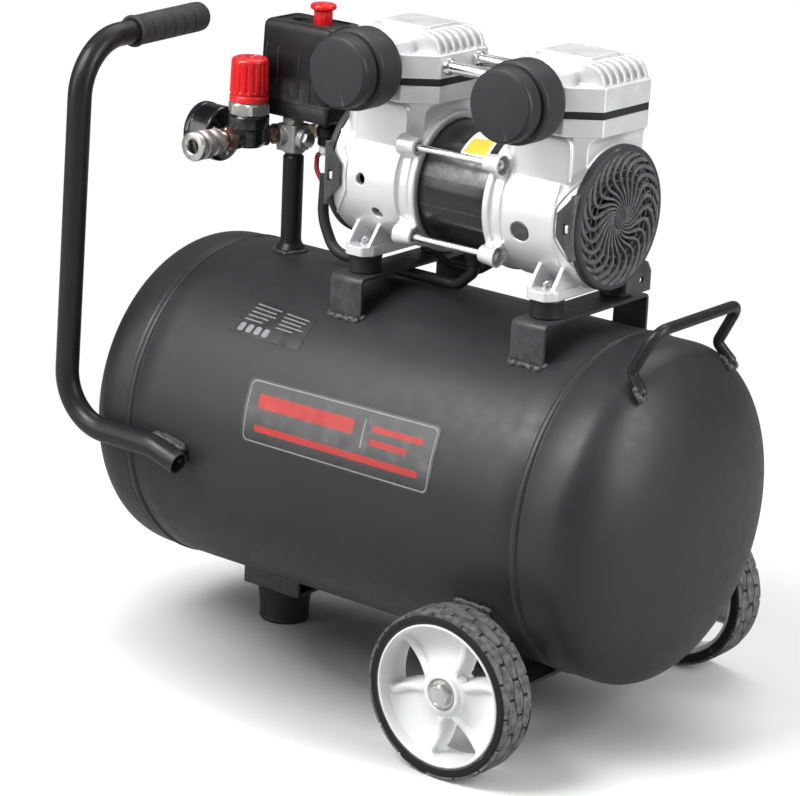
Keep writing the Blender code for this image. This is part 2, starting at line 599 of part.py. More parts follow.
# Tie rods with a nut at each end
half_tie = [(0, 48), (2.7, 48), (2.7, 46.2), (5.6, 46.2), (5.6, 41.4), (2.7, 41.4)]
tie_profile = [(r, -x) for r, x in half_tie] + half_tie[::-1]
for place, sign_y in PLACES:
    for level, sign_z in (("upper", 1), ("lower", -1)):
        to_object(f"tie_rod_{place}_{level}", turned(tie_profile, 8), ZINC,
                  (PUMP_X, sign_y * TIE_Y, PUMP_Z + sign_z * TIE_Z), ALONG_X)


# ================================================================ one side of the pump
# In these functions outwards is away from the motor; turned heights are measured that way.
def build_crankcase(side, sign, cylinder_x, outwards):
    """A turned housing with a deck for the cylinder, a front pad, feet and tie-rod lugs."""
    housing = [(0, 32.4), (54.4, 32.4), (54.4, 39.0), (52.0, 40.0), (52.0, 50.0),
               (CASE_R, 50.5), (CASE_R, 100.0), (54.3, 100.5), (54.3, 114.6), (0, 114.6)]
    # Hollows on both sides of a web that the shaft passes through
    hollow = [(0, 30.0), (49.8, 30.0), (49.8, 36.0), (SHAFT_R + RUN, 36.0),
              (SHAFT_R + RUN, 41.0), (50.0, 41.0), (50.0, 118.0), (0, 118.0)]
    foot_plate = [(-13, -54), (-7, -60), (7, -60), (13, -54),
                  (13, 54), (7, 60), (-7, 60), (-13, 54)]
    rib = [(55.0, 355.0), (27.0, 355.0), (39.0, 373.0), (44.0, 371.5)]    # y, z
    bracket_x = BRACKET_X[side]

    case = to_object(f"crankcase_{side}", turned(housing, 24), CAST, PUMP_AT, outwards)
    add(case, prism(octagon(*CASE_OCTAGON), PUMP_Z + 20, DECK_Z - GAP), (cylinder_x, 0, 0))
    add(case, prism(rounded(-20.8, 28.5, 0, 46.8, 0.5, 1), PUMP_Z + 25, 470.6),
        (cylinder_x, -46.8, 0))
    add(case, prism(foot_plate, 348.0, 355.8), (bracket_x, 0, 0))
    for sign_y in (-1, 1):
        for shift in (-9.5, 9.5):
            add(case, prism([(z, sign_y * y) for y, z in rib], -1.5, 1.5),
                (bracket_x + shift, 0, 0), SECTION)
        for sign_z in (-1, 1):
            add(case, block((PUMP_X + sign * 32.4, PUMP_X + sign * 41.0),
                            (sign_y * 43.0, sign_y * 59.0),
                            (PUMP_Z + sign_z * 27.0, PUMP_Z + sign_z * 42.5)))
    cut(case, turned(hollow, 20), PUMP_AT, outwards)
    cut(case, rod(31.2, PUMP_Z + 10, 480.0, 16), (cylinder_x, 0, 0))
    for sign_y in (-1, 1):
        cut(case, rod(3.6, 340.0, 362.0, 6), (bracket_x, sign_y * MOUNT_Y, 0))
        for sign_z in (-1, 1):
            cut(case, rod(3.4, -60.0, 60.0, 8),
                (PUMP_X, sign_y * TIE_Y, PUMP_Z + sign_z * TIE_Z), ALONG_X)


def build_cylinder(side, at):
    """Cylinder with a spigot into the crankcase, and the gasket on top of it."""
    cylinder = to_object(f"cylinder_{side}", prism(
        octagon(*CYLINDER_OCTAGON), DECK_Z, GASKET_Z - GAP), CAST, at)
    add(cylinder, rod(30.8, 453.0, DECK_Z + 1.0, 16), at)
    cut(cylinder, rod(BORE_R, 440.0, 490.0, 16), at)
    gasket = to_object(f"head_gasket_{side}", prism(
        octagon(*HEAD_OCTAGON), GASKET_Z, HEAD_Z - GAP), RUBBER, at)
    cut(gasket, rod(BORE_R + 0.4, 470.0, 500.0, 16), at)


def build_head(side, at):
    """Cylinder head with slots in both ends, a raised top and a front boss."""
    stations = ((HEAD_Z, 0.0), (509.2, 0.0), (509.4, 2.4),       # z, inset
                (517.5, 2.8), (522.0, 6.0), (524.6, 13.0))
    half_x, edge_y, half_y, edge_x = HEAD_OCTAGON
    head = to_object(f"cylinder_head_{side}", loft([
        (z, octagon(half_x - inset, edge_y - inset * 0.6, half_y - inset, edge_x - inset * 0.3))
        for z, inset in stations]), CAST, at)
    for end in (-1, 1):
        for k in range(6):
            y = -22.5 + 9.0 * k
            cut(head, block((end * 24.0, end * 60.0), (y - 2.4, y + 2.4), (511.0, 530.0)), at)
    add(head, prism(rounded(-23.0, 23.0, -21.0, 21.0, 3, 1), 522.0, 527.4), at)
    add(head, prism(rounded(-19.5, 19.5, -54.0, -30.0, 3, 1), 494.0, 519.5), at)


def build_filter(side, cylinder_x):
    to_object(f"intake_filter_{side}", turned([
        (0, 54.5), (27.5, 54.5), (31.4, 60.0), (31.4, 82.8), (28.2, 83.4), (28.0, 97.4),
        (26.0, 100.2), (0, 100.2)], 20), GREY_PLASTIC, (cylinder_x, 0, FILTER_Z), ALONG_FRONT)


def build_piston(side, cylinder_x, lift):
    """Wobble piston and rod in one piece, its big end around the eccentric's axis."""
    at = (cylinder_x, 0, 0)
    big_end = (cylinder_x, 0, PUMP_Z + lift)
    top = HEAD_Z - 0.5 - THROW + lift
    piston = to_object(f"piston_{side}", turned([
        (0, top - 9), (24.0, top - 9), (27.5, top - 6), (27.5, top), (0, top)], 16), CAST, at)
    add(piston, block((-4.3, 4.3), (-8.0, 8.0), (PUMP_Z + lift + 17.0, top - 5.0)), at)
    add(piston, rod(21.0, -4.2, 4.2, 16), big_end, ALONG_X)
    cut(piston, rod(15.8, -8.0, 8.0, 16), big_end, ALONG_X)
    pivot(piston, (cylinder_x, 0, PUMP_Z))


def build_fan(side, outwards):
    """Five pitched blades on a hub, blind-bored for the shaft's end."""
    fan = to_object(f"cooling_fan_{side}", turned([
        (0, 103.0), (10.0, 103.0), (10.0, 112.5), (0, 112.5)], 12),
        BLACK_PLASTIC, PUMP_AT, outwards)
    for k in range(5):
        blade = block((8.0, 44.0), (-6.5, 6.5), (-0.9, 0.9))
        bmesh.ops.rotate(blade, verts=blade.verts, cent=(0, 0, 0),
                         matrix=Matrix.Rotation(math.radians(32), 3, "X"))
        bmesh.ops.translate(blade, verts=blade.verts, vec=(0, 0, 108.0))
        bmesh.ops.rotate(blade, verts=blade.verts, cent=(0, 0, 0),
                         matrix=Matrix.Rotation(2 * math.pi * k / 5, 3, "Z"))
        add(fan, blade, PUMP_AT, outwards)
    cut(fan, rod(SHAFT_R + RUN, 90.0, 111.0, 12), PUMP_AT, outwards)
    pivot(fan, PUMP_AT)


def build_fan_cover(side, sign, outwards):
    """A shallow cup with six openings, and a tab on its front edge."""
    cover = to_object(f"fan_cover_{side}", turned([
        (0, 118.6), (53.6, 118.6), (53.6, 115.0), (55.9, 115.0), (55.9, 118.8),
        (54.0, 121.2), (0, 122.4)], 24), GREY_PLASTIC, PUMP_AT, outwards)
    tab_end = PUMP_X + sign * 119.0
    tab = block((PUMP_X + sign * 104.0, tab_end), (-58.3, -56.3), (0, 30))
    add(cover, tab, (0, 0, PUMP_Z - 15))
    add(cover, block((PUMP_X + sign * 115.2, tab_end), (-57.3, -52.0),
                     (PUMP_Z - 15, PUMP_Z + 15)))
    for k in range(6):
        a = 2 * math.pi * (k + 0.5) / 6
        window = arc(48.0, a, (-23, 0, 23)) + arc(18.0, a, (23, 0, -23))
        cut(cover, prism(window, 110, 130), PUMP_AT, outwards)


for side, sign in SIDES:
    cylinder_x = PUMP_X + sign * CYLINDER_REACH
    cylinder_at = (cylinder_x, 0, 0)
    outwards = ALONG_X if sign > 0 else ALONG_LEFT
    build_crankcase(side, sign, cylinder_x, outwards)
    build_cylinder(side, cylinder_at)
    build_head(side, cylinder_at)
    build_filter(side, cylinder_x)
    build_piston(side, cylinder_x, -sign * THROW)
    build_fan(side, outwards)
    build_fan_cover(side, sign, outwards)

# Transfer tubes between the heads, with a collar at each end
tube_x0 = PUMP_X - CYLINDER_REACH + HEAD_OCTAGON[0] + GAP
tube_x1 = PUMP_X + CYLINDER_REACH - HEAD_OCTAGON[0] - GAP
for place, y, z in (("front", -22.0, 500.8), ("rear", 16.0, 501.6)):
    to_object(f"transfer_tube_{place}", turned([
        (3.5, tube_x0), (6.2, tube_x0), (6.2, tube_x0 + 3.0), (4.9, tube_x0 + 3.6),
        (4.9, tube_x1 - 3.6), (6.2, tube_x1 - 3.0), (6.2, tube_x1), (3.5, tube_x1)],
        10, ring=True), CHROME, (0, y, z), ALONG_X)

# ================================================================ centring, shading, parenting
pieces = [obj for obj in bpy.data.objects if obj.type == "MESH"]
for obj in pieces:
    obj.location.x -= CENTRE_X * MM

root = bpy.data.objects.new("compressor", None)
bpy.context.scene.collection.objects.link(root)
bpy.context.view_layer.update()
for obj in pieces:
    obj.data.shade_smooth()
    obj.data.set_sharp_from_angle(angle=math.radians(35))
    obj.parent = root
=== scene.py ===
"""Portable oil-free air compressor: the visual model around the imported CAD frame."""
import json
import math

import bmesh
import bpy
from mathutils import Euler, Matrix, Vector, noise


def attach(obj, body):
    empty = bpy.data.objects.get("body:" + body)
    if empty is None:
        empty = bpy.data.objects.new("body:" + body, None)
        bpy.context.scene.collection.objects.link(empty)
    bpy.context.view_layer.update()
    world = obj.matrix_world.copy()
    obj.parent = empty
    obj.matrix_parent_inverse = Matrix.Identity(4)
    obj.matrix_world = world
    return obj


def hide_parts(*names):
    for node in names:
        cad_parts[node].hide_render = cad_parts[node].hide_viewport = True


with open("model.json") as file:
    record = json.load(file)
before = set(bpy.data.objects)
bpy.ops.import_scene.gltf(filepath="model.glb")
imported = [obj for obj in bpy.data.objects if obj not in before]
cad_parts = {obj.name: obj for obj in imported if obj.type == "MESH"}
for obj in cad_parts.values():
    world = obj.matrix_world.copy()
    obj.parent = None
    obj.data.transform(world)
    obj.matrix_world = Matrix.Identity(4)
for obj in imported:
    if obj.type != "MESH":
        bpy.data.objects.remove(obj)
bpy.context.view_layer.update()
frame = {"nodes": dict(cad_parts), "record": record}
RECORD = frame["record"]
SLOT_OF = {row["node"]: row["material_slot"] for row in RECORD["subparts"]}
BODY_OF = {n: b for b, members in RECORD["behaviour"]["bodies"].items() for n in members}
MAIN = BODY_OF["air_tank"]
MM = 0.001
PI = math.pi
CENTRE_X = 8.435   # the frame's origin is this far along X from the middle between the tank's seams
SHIFT = Matrix.Translation((-CENTRE_X, 0, 0))

# Places of the design, in mm (the same numbers the CAD is built on).
TANK_R, TANK_Z, SEAM_X = 135.0, 184.1, 193.4
END_WHEEL, END_HANDLE = (30.5, 53.6, 2.10), (5.7, 53.0, 3.70)
WHEEL_R, WHEEL_X, WHEEL_OUT, WHEEL_W = 65.8, 159.4, 175.5, 34.0
FOOT_X, RISER_X, DRAIN_X = -135.2, -142.0, 70.0
PUMP_X, PUMP_Z, CYL_U, CASE_R = 56.8, 406.7, 76.3, 55.5
ROD_Y, ROD_Z = 51.6, 35.2
HEAD_Z, GASKET_Z, DECK_Z = 491.5, 486.1, 472.2
HEAD_HX, HEAD_SY, HEAD_FY, HEAD_FX = 45.3, 29.5, 49.5, 22.3
BRACKET_X = {"left": -27.0, "right": 148.6}
BRACKET_HW, BRACKET_Y, BRACKET_TOP, BRACKET_T, MOUNT_Y = 15.5, 69.3, 333.3, 3.0, 46.0
FILTER_Z, MAN_X, KNOB_X, GAUGE_Z, OUTLET_Z = 498.5, -143.5, -126.1, 412.0, 416.0
REG_X, REG_Y, REG_DZ = -164.0, -31.5, 13.0
SW_X, SW_Y, SW_DZ = -9.1, 12.0, -4.9
HANDLE_Y, HANDLE_R = -145.9, 9.6
AXLE_R = 6.0
TOP = TANK_Z + TANK_R

ALONG_X = (0, PI / 2, 0)
ALONG_FRONT = (PI / 2, 0, 0)
ALONG_BACK = (-PI / 2, 0, 0)
ALONG_LEFT = (0, -PI / 2, 0)


# ================================================================ materials
def node(tree, kind, **values):
    made = tree.nodes.new(kind)
    for key, value in values.items():
        if key.startswith("in_"):
            made.inputs[key[3:]].default_value = value
        else:
            setattr(made, key, value)
    return made


def math_node(tree, operation, a, b=None, clamp=False):
    made = tree.nodes.new("ShaderNodeMath")
    made.operation = operation
    made.use_clamp = clamp
    for k, value in enumerate((a, b)):
        if value is None:
            continue
        if isinstance(value, (int, float)):
            made.inputs[k].default_value = value
        else:
            tree.links.new(value, made.inputs[k])
    return made.outputs[0]


def span(tree, value, a, b, c, d):
    made = tree.nodes.new("ShaderNodeMapRange")
    made.inputs["From Min"].default_value = a
    made.inputs["From Max"].default_value = b
    made.inputs["To Min"].default_value = c
    made.inputs["To Max"].default_value = d
    tree.links.new(value, made.inputs["Value"])
    return made.outputs["Result"]


def mix_colour(tree, factor, a, b, how="MIX"):
    made = tree.nodes.new("ShaderNodeMix")
    made.data_type = "RGBA"
    made.blend_type = how
    for socket, value in ((made.inputs[0], factor), (made.inputs[6], a), (made.inputs[7], b)):
        if hasattr(value, "is_linked"):
            tree.links.new(value, socket)
        elif isinstance(value, (int, float)):
            socket.default_value = value
        else:
            socket.default_value = (*value[:3], 1.0)
    return made.outputs[2]


def surface(name, base, rough, metal=0.0, tint=0.10, tint_scale=35.0, rough_var=0.07, rough_scale=90.0,
            grain=1300.0, bump=0.25, depth=0.00012, coat=0.0, spec=0.32, edge=None, edge_wear_highlight_amount=0.0,
            dirt=None, dirt_amount=0.0, brushed=None, lines=None, speckle=0.0, ior=1.5):
    """One finished material: colour drift, roughness drift, a grained bump, lighter edges that are partly real wear and
    partly painted highlight, and settled dust.
    """
    mat = bpy.data.materials.new(name)
    mat.use_nodes = True
    tree = mat.node_tree
    bsdf = tree.nodes["Principled BSDF"]
    where = tree.nodes.new("ShaderNodeTexCoord").outputs["Object"]
    fine = where
    if brushed:
        stretch = node(tree, "ShaderNodeMapping", in_Scale=brushed)
        tree.links.new(where, stretch.inputs["Vector"])
        fine = stretch.outputs["Vector"]

    def cloud(scale, detail, source, roughness=0.55):
        made = node(tree, "ShaderNodeTexNoise", in_Scale=scale, in_Detail=detail, in_Roughness=roughness)
        tree.links.new(source, made.inputs["Vector"])
        return made.outputs["Fac"]

    drift = span(tree, cloud(tint_scale, 3.0, where), 0.3, 0.7, 0.0, 1.0)
    low = [c * (1 - tint) for c in base]
    high = [min(1.0, c * (1 + tint)) for c in base]
    colour = mix_colour(tree, drift, low, high)
    if speckle:
        dots = span(tree, cloud(grain * 0.8, 2.0, where, 0.5), 0.56, 0.66, 0.0, speckle)
        colour = mix_colour(tree, dots, colour, [min(1.0, c * 1.7 + 0.01) for c in base])
    if lines:
        axis, pitch, strength = lines
        parts = tree.nodes.new("ShaderNodeSeparateXYZ")
        tree.links.new(where, parts.inputs[0])
        wave = math_node(tree, "SINE", math_node(tree, "MULTIPLY", parts.outputs[axis], 2 * PI / pitch))
        shade = span(tree, wave, -1.0, 1.0, 0.0, strength)
        colour = mix_colour(tree, shade, colour, [c * 0.25 for c in base])
    # painted highlight on sharp edges, partly real wear: the edge colour is mixed in where pointiness is high
    if edge is not None and edge_wear_highlight_amount > 0:
        shape = tree.nodes.new("ShaderNodeNewGeometry")
        ridge = span(tree, shape.outputs["Pointiness"], 0.515, 0.58, 0.0, edge_wear_highlight_amount)
        edge_wear_highlight_mask = math_node(tree, "MULTIPLY", ridge, span(tree, cloud(180.0, 4.0, where), 0.35, 0.6, 0.35, 1.0), clamp=True)
        colour = mix_colour(tree, edge_wear_highlight_mask, colour, edge)
    if dirt is not None and dirt_amount > 0:
        shape = tree.nodes.new("ShaderNodeNewGeometry")
        up = tree.nodes.new("ShaderNodeSeparateXYZ")
        tree.links.new(shape.outputs["Normal"], up.inputs[0])
        lay = span(tree, up.outputs[2], 0.2, 1.0, 0.0, dirt_amount)
        patchy = math_node(tree, "MULTIPLY", lay, span(tree, cloud(55.0, 5.0, where), 0.4, 0.65, 0.2, 1.0), clamp=True)
        colour = mix_colour(tree, patchy, colour, dirt)
    tree.links.new(colour, bsdf.inputs["Base Color"])

    uneven = math_node(tree, "ADD", span(tree, cloud(rough_scale, 4.0, fine), 0.3, 0.7, -rough_var, rough_var), rough, clamp=True)
    tree.links.new(uneven, bsdf.inputs["Roughness"])
    bsdf.inputs["Metallic"].default_value = metal
    bsdf.inputs["IOR"].default_value = ior
    bsdf.inputs["Specular IOR Level"].default_value = spec
    bsdf.inputs["Coat Weight"].default_value = coat
    bsdf.inputs["Coat Roughness"].default_value = 0.12

    height = math_node(tree, "ADD", cloud(grain, 3.0, fine, 0.6), math_node(tree, "MULTIPLY", cloud(grain * 0.18, 2.0, fine), 0.9))
    if lines:
        height = math_node(tree, "ADD", height, math_node(tree, "MULTIPLY", wave, lines[2]))
    relief = node(tree, "ShaderNodeBump", in_Strength=bump, in_Distance=depth)
    tree.links.new(height, relief.inputs["Height"])
    tree.links.new(relief.outputs["Normal"], bsdf.inputs["Normal"])
    mat.diffuse_color = (*base, 1.0)
    return mat


# each edge colour below is a painted edge highlight, partly real wear
M = {
    "powder": surface("satin_charcoal_powder_coat", (0.0235, 0.0235, 0.025), 0.42, 0.0, tint=0.08, tint_scale=14, rough_var=0.05,
                      grain=900, bump=0.22, depth=0.00010, spec=0.34, edge=(0.16, 0.16, 0.165), edge_wear_highlight_amount=0.35,
                      dirt=(0.055, 0.055, 0.058), dirt_amount=0.12),
    "tube": surface("charcoal_tube_coat", (0.012, 0.012, 0.013), 0.36, 0.0, tint=0.10, tint_scale=25, grain=1100, bump=0.2,
                    edge=(0.2, 0.2, 0.2), edge_wear_highlight_amount=0.5),
    "weld": surface("painted_weld_bead", (0.040, 0.040, 0.042), 0.46, 0.1, tint=0.35, tint_scale=260, rough_var=0.12,
                    grain=700, bump=0.6, depth=0.0003, edge=(0.22, 0.22, 0.22), edge_wear_highlight_amount=0.6),
    "cast": surface("silver_cast_aluminium", (0.75, 0.75, 0.755), 0.40, 0.55, tint=0.045, tint_scale=22, rough_var=0.07,
                    grain=1500, bump=0.26, depth=0.00011, spec=0.6, edge=(0.93, 0.93, 0.93), edge_wear_highlight_amount=0.55, speckle=0.10),
    "cast_dark": surface("cast_bore_shadow", (0.05, 0.05, 0.052), 0.6, 0.3, grain=900),
    "zinc": surface("bright_zinc_plate", (0.76, 0.76, 0.75), 0.20, 1.0, tint=0.06, tint_scale=120, rough_var=0.06, grain=1600, bump=0.12,
                    depth=0.00006, brushed=(0.35, 1.0, 1.0), edge=(0.95, 0.95, 0.95), edge_wear_highlight_amount=0.4),
    "zinc_y": surface("bright_zinc_bolt", (0.60, 0.60, 0.59), 0.32, 1.0, tint=0.08, tint_scale=160, rough_var=0.08, grain=1500, bump=0.2,
                      depth=0.00006, edge=(0.95, 0.95, 0.95), edge_wear_highlight_amount=0.5),
    "steel": surface("ground_steel_shaft", (0.50, 0.50, 0.51), 0.30, 1.0, tint=0.10, grain=1700, bump=0.2, brushed=(1.0, 0.2, 1.0)),
    "chrome": surface("polished_chrome", (0.78, 0.78, 0.79), 0.20, 1.0, tint=0.03, tint_scale=60, rough_var=0.04, grain=900, bump=0.05,
                      depth=0.00005, edge=(0.97, 0.97, 0.97), edge_wear_highlight_amount=0.3),
    "coupler": surface("nickel_plated_coupler", (0.47, 0.465, 0.45), 0.36, 1.0, tint=0.08, tint_scale=220, rough_var=0.08, grain=1500,
                       bump=0.2, depth=0.00007, edge=(0.95, 0.94, 0.92), edge_wear_highlight_amount=0.6),
    "brass": surface("turned_brass", (0.46, 0.37, 0.25), 0.32, 1.0, tint=0.12, tint_scale=200, rough_var=0.08, grain=1500, bump=0.25,
                     depth=0.00008, edge=(0.75, 0.64, 0.46), edge_wear_highlight_amount=0.5),
    "copper": surface("copper_brown_adaptor", (0.15, 0.088, 0.072), 0.32, 0.9, tint=0.2, tint_scale=240, grain=1200, bump=0.3,
                      edge=(0.50, 0.33, 0.28), edge_wear_highlight_amount=0.5),
    "filter": surface("moulded_filter_plastic", (0.025, 0.025, 0.027), 0.48, 0.0, tint=0.07, tint_scale=30, grain=1700, bump=0.34,
                      depth=0.00010, edge=(0.17, 0.17, 0.175), edge_wear_highlight_amount=0.55),
    "grille": surface("grille_plastic", (0.040, 0.040, 0.0425), 0.50, 0.0, tint=0.09, tint_scale=40, grain=1500, bump=0.3,
                      depth=0.00010, edge=(0.20, 0.20, 0.205), edge_wear_highlight_amount=0.65),
    "fan": surface("fan_plastic", (0.012, 0.012, 0.013), 0.60, 0.0, grain=1300, bump=0.2),
    "switch": surface("switch_plastic", (0.0055, 0.0055, 0.006), 0.38, 0.0, tint=0.10, tint_scale=40, grain=1500, bump=0.22,
                      depth=0.00008, spec=0.25, edge=(0.12, 0.12, 0.125), edge_wear_highlight_amount=0.5, dirt=(0.045, 0.045, 0.047), dirt_amount=0.25),
    "gloss_black": surface("gloss_black_enamel", (0.008, 0.008, 0.009), 0.20, 0.0, tint=0.12, grain=900, bump=0.10, depth=0.00006,
                           coat=0.5, edge=(0.12, 0.12, 0.12), edge_wear_highlight_amount=0.4),
    "red": surface("glossy_red_plastic", (0.66, 0.007, 0.010), 0.27, 0.0, tint=0.08, tint_scale=70, grain=1300, bump=0.12, depth=0.00006,
                   coat=0.30, spec=0.40, edge=(0.90, 0.10, 0.09), edge_wear_highlight_amount=0.35),
    "white": surface("white_wheel_plastic", (0.79, 0.79, 0.795), 0.38, 0.0, tint=0.025, tint_scale=24, grain=1400, bump=0.18,
                     depth=0.00008, spec=0.5, edge=(0.93, 0.93, 0.93), edge_wear_highlight_amount=0.3),
    "tyre": surface("tyre_rubber", (0.0075, 0.0075, 0.008), 0.62, 0.0, tint=0.22, tint_scale=90, rough_var=0.10, grain=1100, bump=0.5,
                    depth=0.00016, edge=(0.17, 0.17, 0.17), edge_wear_highlight_amount=0.9, dirt=(0.035, 0.034, 0.033), dirt_amount=0.25),
    "rubber": surface("black_rubber", (0.014, 0.014, 0.015), 0.58, 0.0, tint=0.15, tint_scale=60, grain=1200, bump=0.35,
                      depth=0.00012, edge=(0.09, 0.09, 0.09), edge_wear_highlight_amount=0.6),
    "grip": surface("grip_rubber", (0.034, 0.034, 0.0355), 0.62, 0.0, tint=0.14, tint_scale=120, grain=900, bump=0.55,
                    depth=0.00018, edge=(0.11, 0.11, 0.112), edge_wear_highlight_amount=0.6),
    "gasket": surface("black_head_gasket", (0.016, 0.016, 0.017), 0.62, 0.0, grain=1200, bump=0.4),
    "lamination": surface("stator_laminations", (0.17, 0.17, 0.172), 0.40, 0.75, tint=0.25, tint_scale=300, rough_var=0.12, grain=1500,
                          bump=0.4, depth=0.00010, brushed=(1.0, 0.15, 0.15), lines=(0, 0.0010, 0.55)),
    "motor": surface("black_motor_enamel", (0.006, 0.006, 0.0065), 0.32, 0.0, tint=0.12, tint_scale=40, grain=900, bump=0.2,
                     coat=0.25, edge=(0.10, 0.10, 0.10), edge_wear_highlight_amount=0.5),
    "sleeve": surface("cable_sleeve", (0.020, 0.020, 0.021), 0.52, 0.0, tint=0.2, grain=1300, bump=0.4, depth=0.0002,
                      edge=(0.10, 0.10, 0.10), edge_wear_highlight_amount=0.5),
    "wire": surface("red_wire_insulation", (0.40, 0.035, 0.028), 0.38, 0.0, tint=0.15, grain=900, bump=0.15),
    "label": surface("label_film", (0.020, 0.020, 0.0215), 0.30, 0.0, tint=0.10, tint_scale=30, grain=600, bump=0.05, spec=0.6),
    "label_red": surface("label_red_film", (0.42, 0.030, 0.024), 0.34, 0.0, tint=0.10, tint_scale=60, grain=600, bump=0.05),
    "label_grey": surface("label_grey_film", (0.25, 0.25, 0.255), 0.36, 0.0, tint=0.10, tint_scale=60, grain=600, bump=0.05),
    "sticker": surface("blank_sticker", (0.78, 0.77, 0.72), 0.42, 0.0, tint=0.04, grain=600, bump=0.08),
    "sticker_y": surface("blank_sticker_yellow", (0.66, 0.52, 0.05), 0.42, 0.0, tint=0.08, grain=600, bump=0.08),
    "dial": surface("gauge_dial", (0.84, 0.84, 0.82), 0.42, 0.0, tint=0.02, grain=900, bump=0.05),
    "nut_dull": surface("dull_zinc_nut", (0.50, 0.50, 0.47), 0.40, 0.85, tint=0.10, tint_scale=140, rough_var=0.08, grain=1400, bump=0.25,
                        depth=0.00008, edge=(0.85, 0.85, 0.82), edge_wear_highlight_amount=0.5),
    "block": surface("grey_cast_block", (0.40, 0.40, 0.405), 0.46, 0.55, tint=0.10, tint_scale=90, rough_var=0.08, grain=1300, bump=0.4,
                     depth=0.00012, edge=(0.80, 0.80, 0.80), edge_wear_highlight_amount=0.5),
    "ink": surface("dial_ink", (0.02, 0.02, 0.02), 0.5, 0.0, grain=900, bump=0.05),
    "gland": surface("pale_gland_ring", (0.62, 0.62, 0.60), 0.4, 0.0, tint=0.06, grain=900, bump=0.1),
}

glass = bpy.data.materials.new("gauge_lens")
glass.use_nodes = True
_b = glass.node_tree.nodes["Principled BSDF"]
_b.inputs["Base Color"].default_value = (0.97, 0.98, 0.98, 1.0)
_b.inputs["Transmission Weight"].default_value = 1.0
_b.inputs["IOR"].default_value = 1.45
_n = glass.node_tree.nodes.new("ShaderNodeTexNoise")
_n.inputs["Scale"].default_value = 90.0
_r = span(glass.node_tree, _n.outputs["Fac"], 0.3, 0.7, 0.02, 0.08)
glass.node_tree.links.new(_r, _b.inputs["Roughness"])
M["glass"] = glass


# ================================================================ mesh helpers (all lengths in mm)
def bake(obj):
    """Applies all modifiers of an object to its mesh."""
    bpy.context.view_layer.update()
    graph = bpy.context.evaluated_depsgraph_get()
    baked = bpy.data.meshes.new_from_object(obj.evaluated_get(graph))
    obj.modifiers.clear()
    looks = [m for m in obj.data.materials]
    old = obj.data
    obj.data = baked
    bpy.data.meshes.remove(old)
    baked.materials.clear()
    for look in looks:
        baked.materials.append(look)
    return obj


def make(name, bm, look=None, loc=(0, 0, 0), rot=(0, 0, 0), angle=38):
    """Turns a bmesh in mm into an object at the origin with its place in its mesh."""
    place = Matrix.Translation(loc) @ Euler(rot).to_matrix().to_4x4()
    bm.transform(Matrix.Scale(MM, 4) @ SHIFT @ place)
    bmesh.ops.recalc_face_normals(bm, faces=bm.faces)
    mesh = bpy.data.meshes.new(name)
    bm.to_mesh(mesh)
    bm.free()
    obj = bpy.data.objects.new(name, mesh)
    bpy.context.scene.collection.objects.link(obj)
    if look is not None:
        mesh.materials.append(M[look] if isinstance(look, str) else look)
    obj["angle"] = angle
    shade(obj, angle)
    return obj


def shade(obj, angle=38):
    obj.data.shade_smooth()
    obj.data.set_sharp_from_angle(angle=math.radians(angle))
    return obj


def bevel(obj, width=0.5, segments=2, angle=30, look_angle=None):
    m = obj.modifiers.new("bevel", "BEVEL")
    m.width = width * MM
    m.segments = segments
    m.limit_method = "ANGLE"
    m.angle_limit = math.radians(angle)
    m.use_clamp_overlap = True
    m.miter_outer = "MITER_ARC"
    bake(obj)
    shade(obj, look_angle or obj["angle"])
    return obj


def boolean(obj, bm, operation, loc=(0, 0, 0), rot=(0, 0, 0), solver="EXACT"):
    tool = make("helper", bm, None, loc, rot)
    m = obj.modifiers.new("combine", "BOOLEAN")
    m.operation = operation
    m.solver = solver
    m.object = tool
    bake(obj)
    data = tool.data
    bpy.data.objects.remove(tool, do_unlink=True)
    bpy.data.meshes.remove(data)
    for face in obj.data.polygons:
        face.material_index = 0
    return obj


def add(obj, bm, loc=(0, 0, 0), rot=(0, 0, 0)):
    return boolean(obj, bm, "UNION", loc, rot)


def cut(obj, bm, loc=(0, 0, 0), rot=(0, 0, 0)):
    return boolean(obj, bm, "DIFFERENCE", loc, rot)


def drill(obj, bm, loc=(0, 0, 0), rot=(0, 0, 0)):
    """A cut from a dense closed mesh."""
    return boolean(obj, bm, "DIFFERENCE", loc, rot, "MANIFOLD")


def fused(name, solids, look, voxel=0.6):
    """One closed skin round several overlapping closed solids, given as (bmesh, loc, rot)."""
    objs = [make("lump", bm, look, loc, rot) for bm, loc, rot in solids]
    obj = join(name, objs)
    m = obj.modifiers.new("remesh", "REMESH")
    m.mode = "VOXEL"
    m.voxel_size = voxel * MM * 1.0
    bake(obj)
    return obj


def casting(obj, voxel=0.8, smooth=4, keep=0.35):
    """Rounds every edge of a solid, as a casting or a moulding has it."""
    m = obj.modifiers.new("remesh", "REMESH")
    m.mode = "VOXEL"
    m.voxel_size = voxel * MM * 1.0
    m.adaptivity = 0.0
    s = obj.modifiers.new("smooth", "SMOOTH")
    s.factor = 0.5
    s.iterations = smooth
    d = obj.modifiers.new("thin", "DECIMATE")
    d.ratio = keep
    bake(obj)
    shade(obj, 60)
    return obj


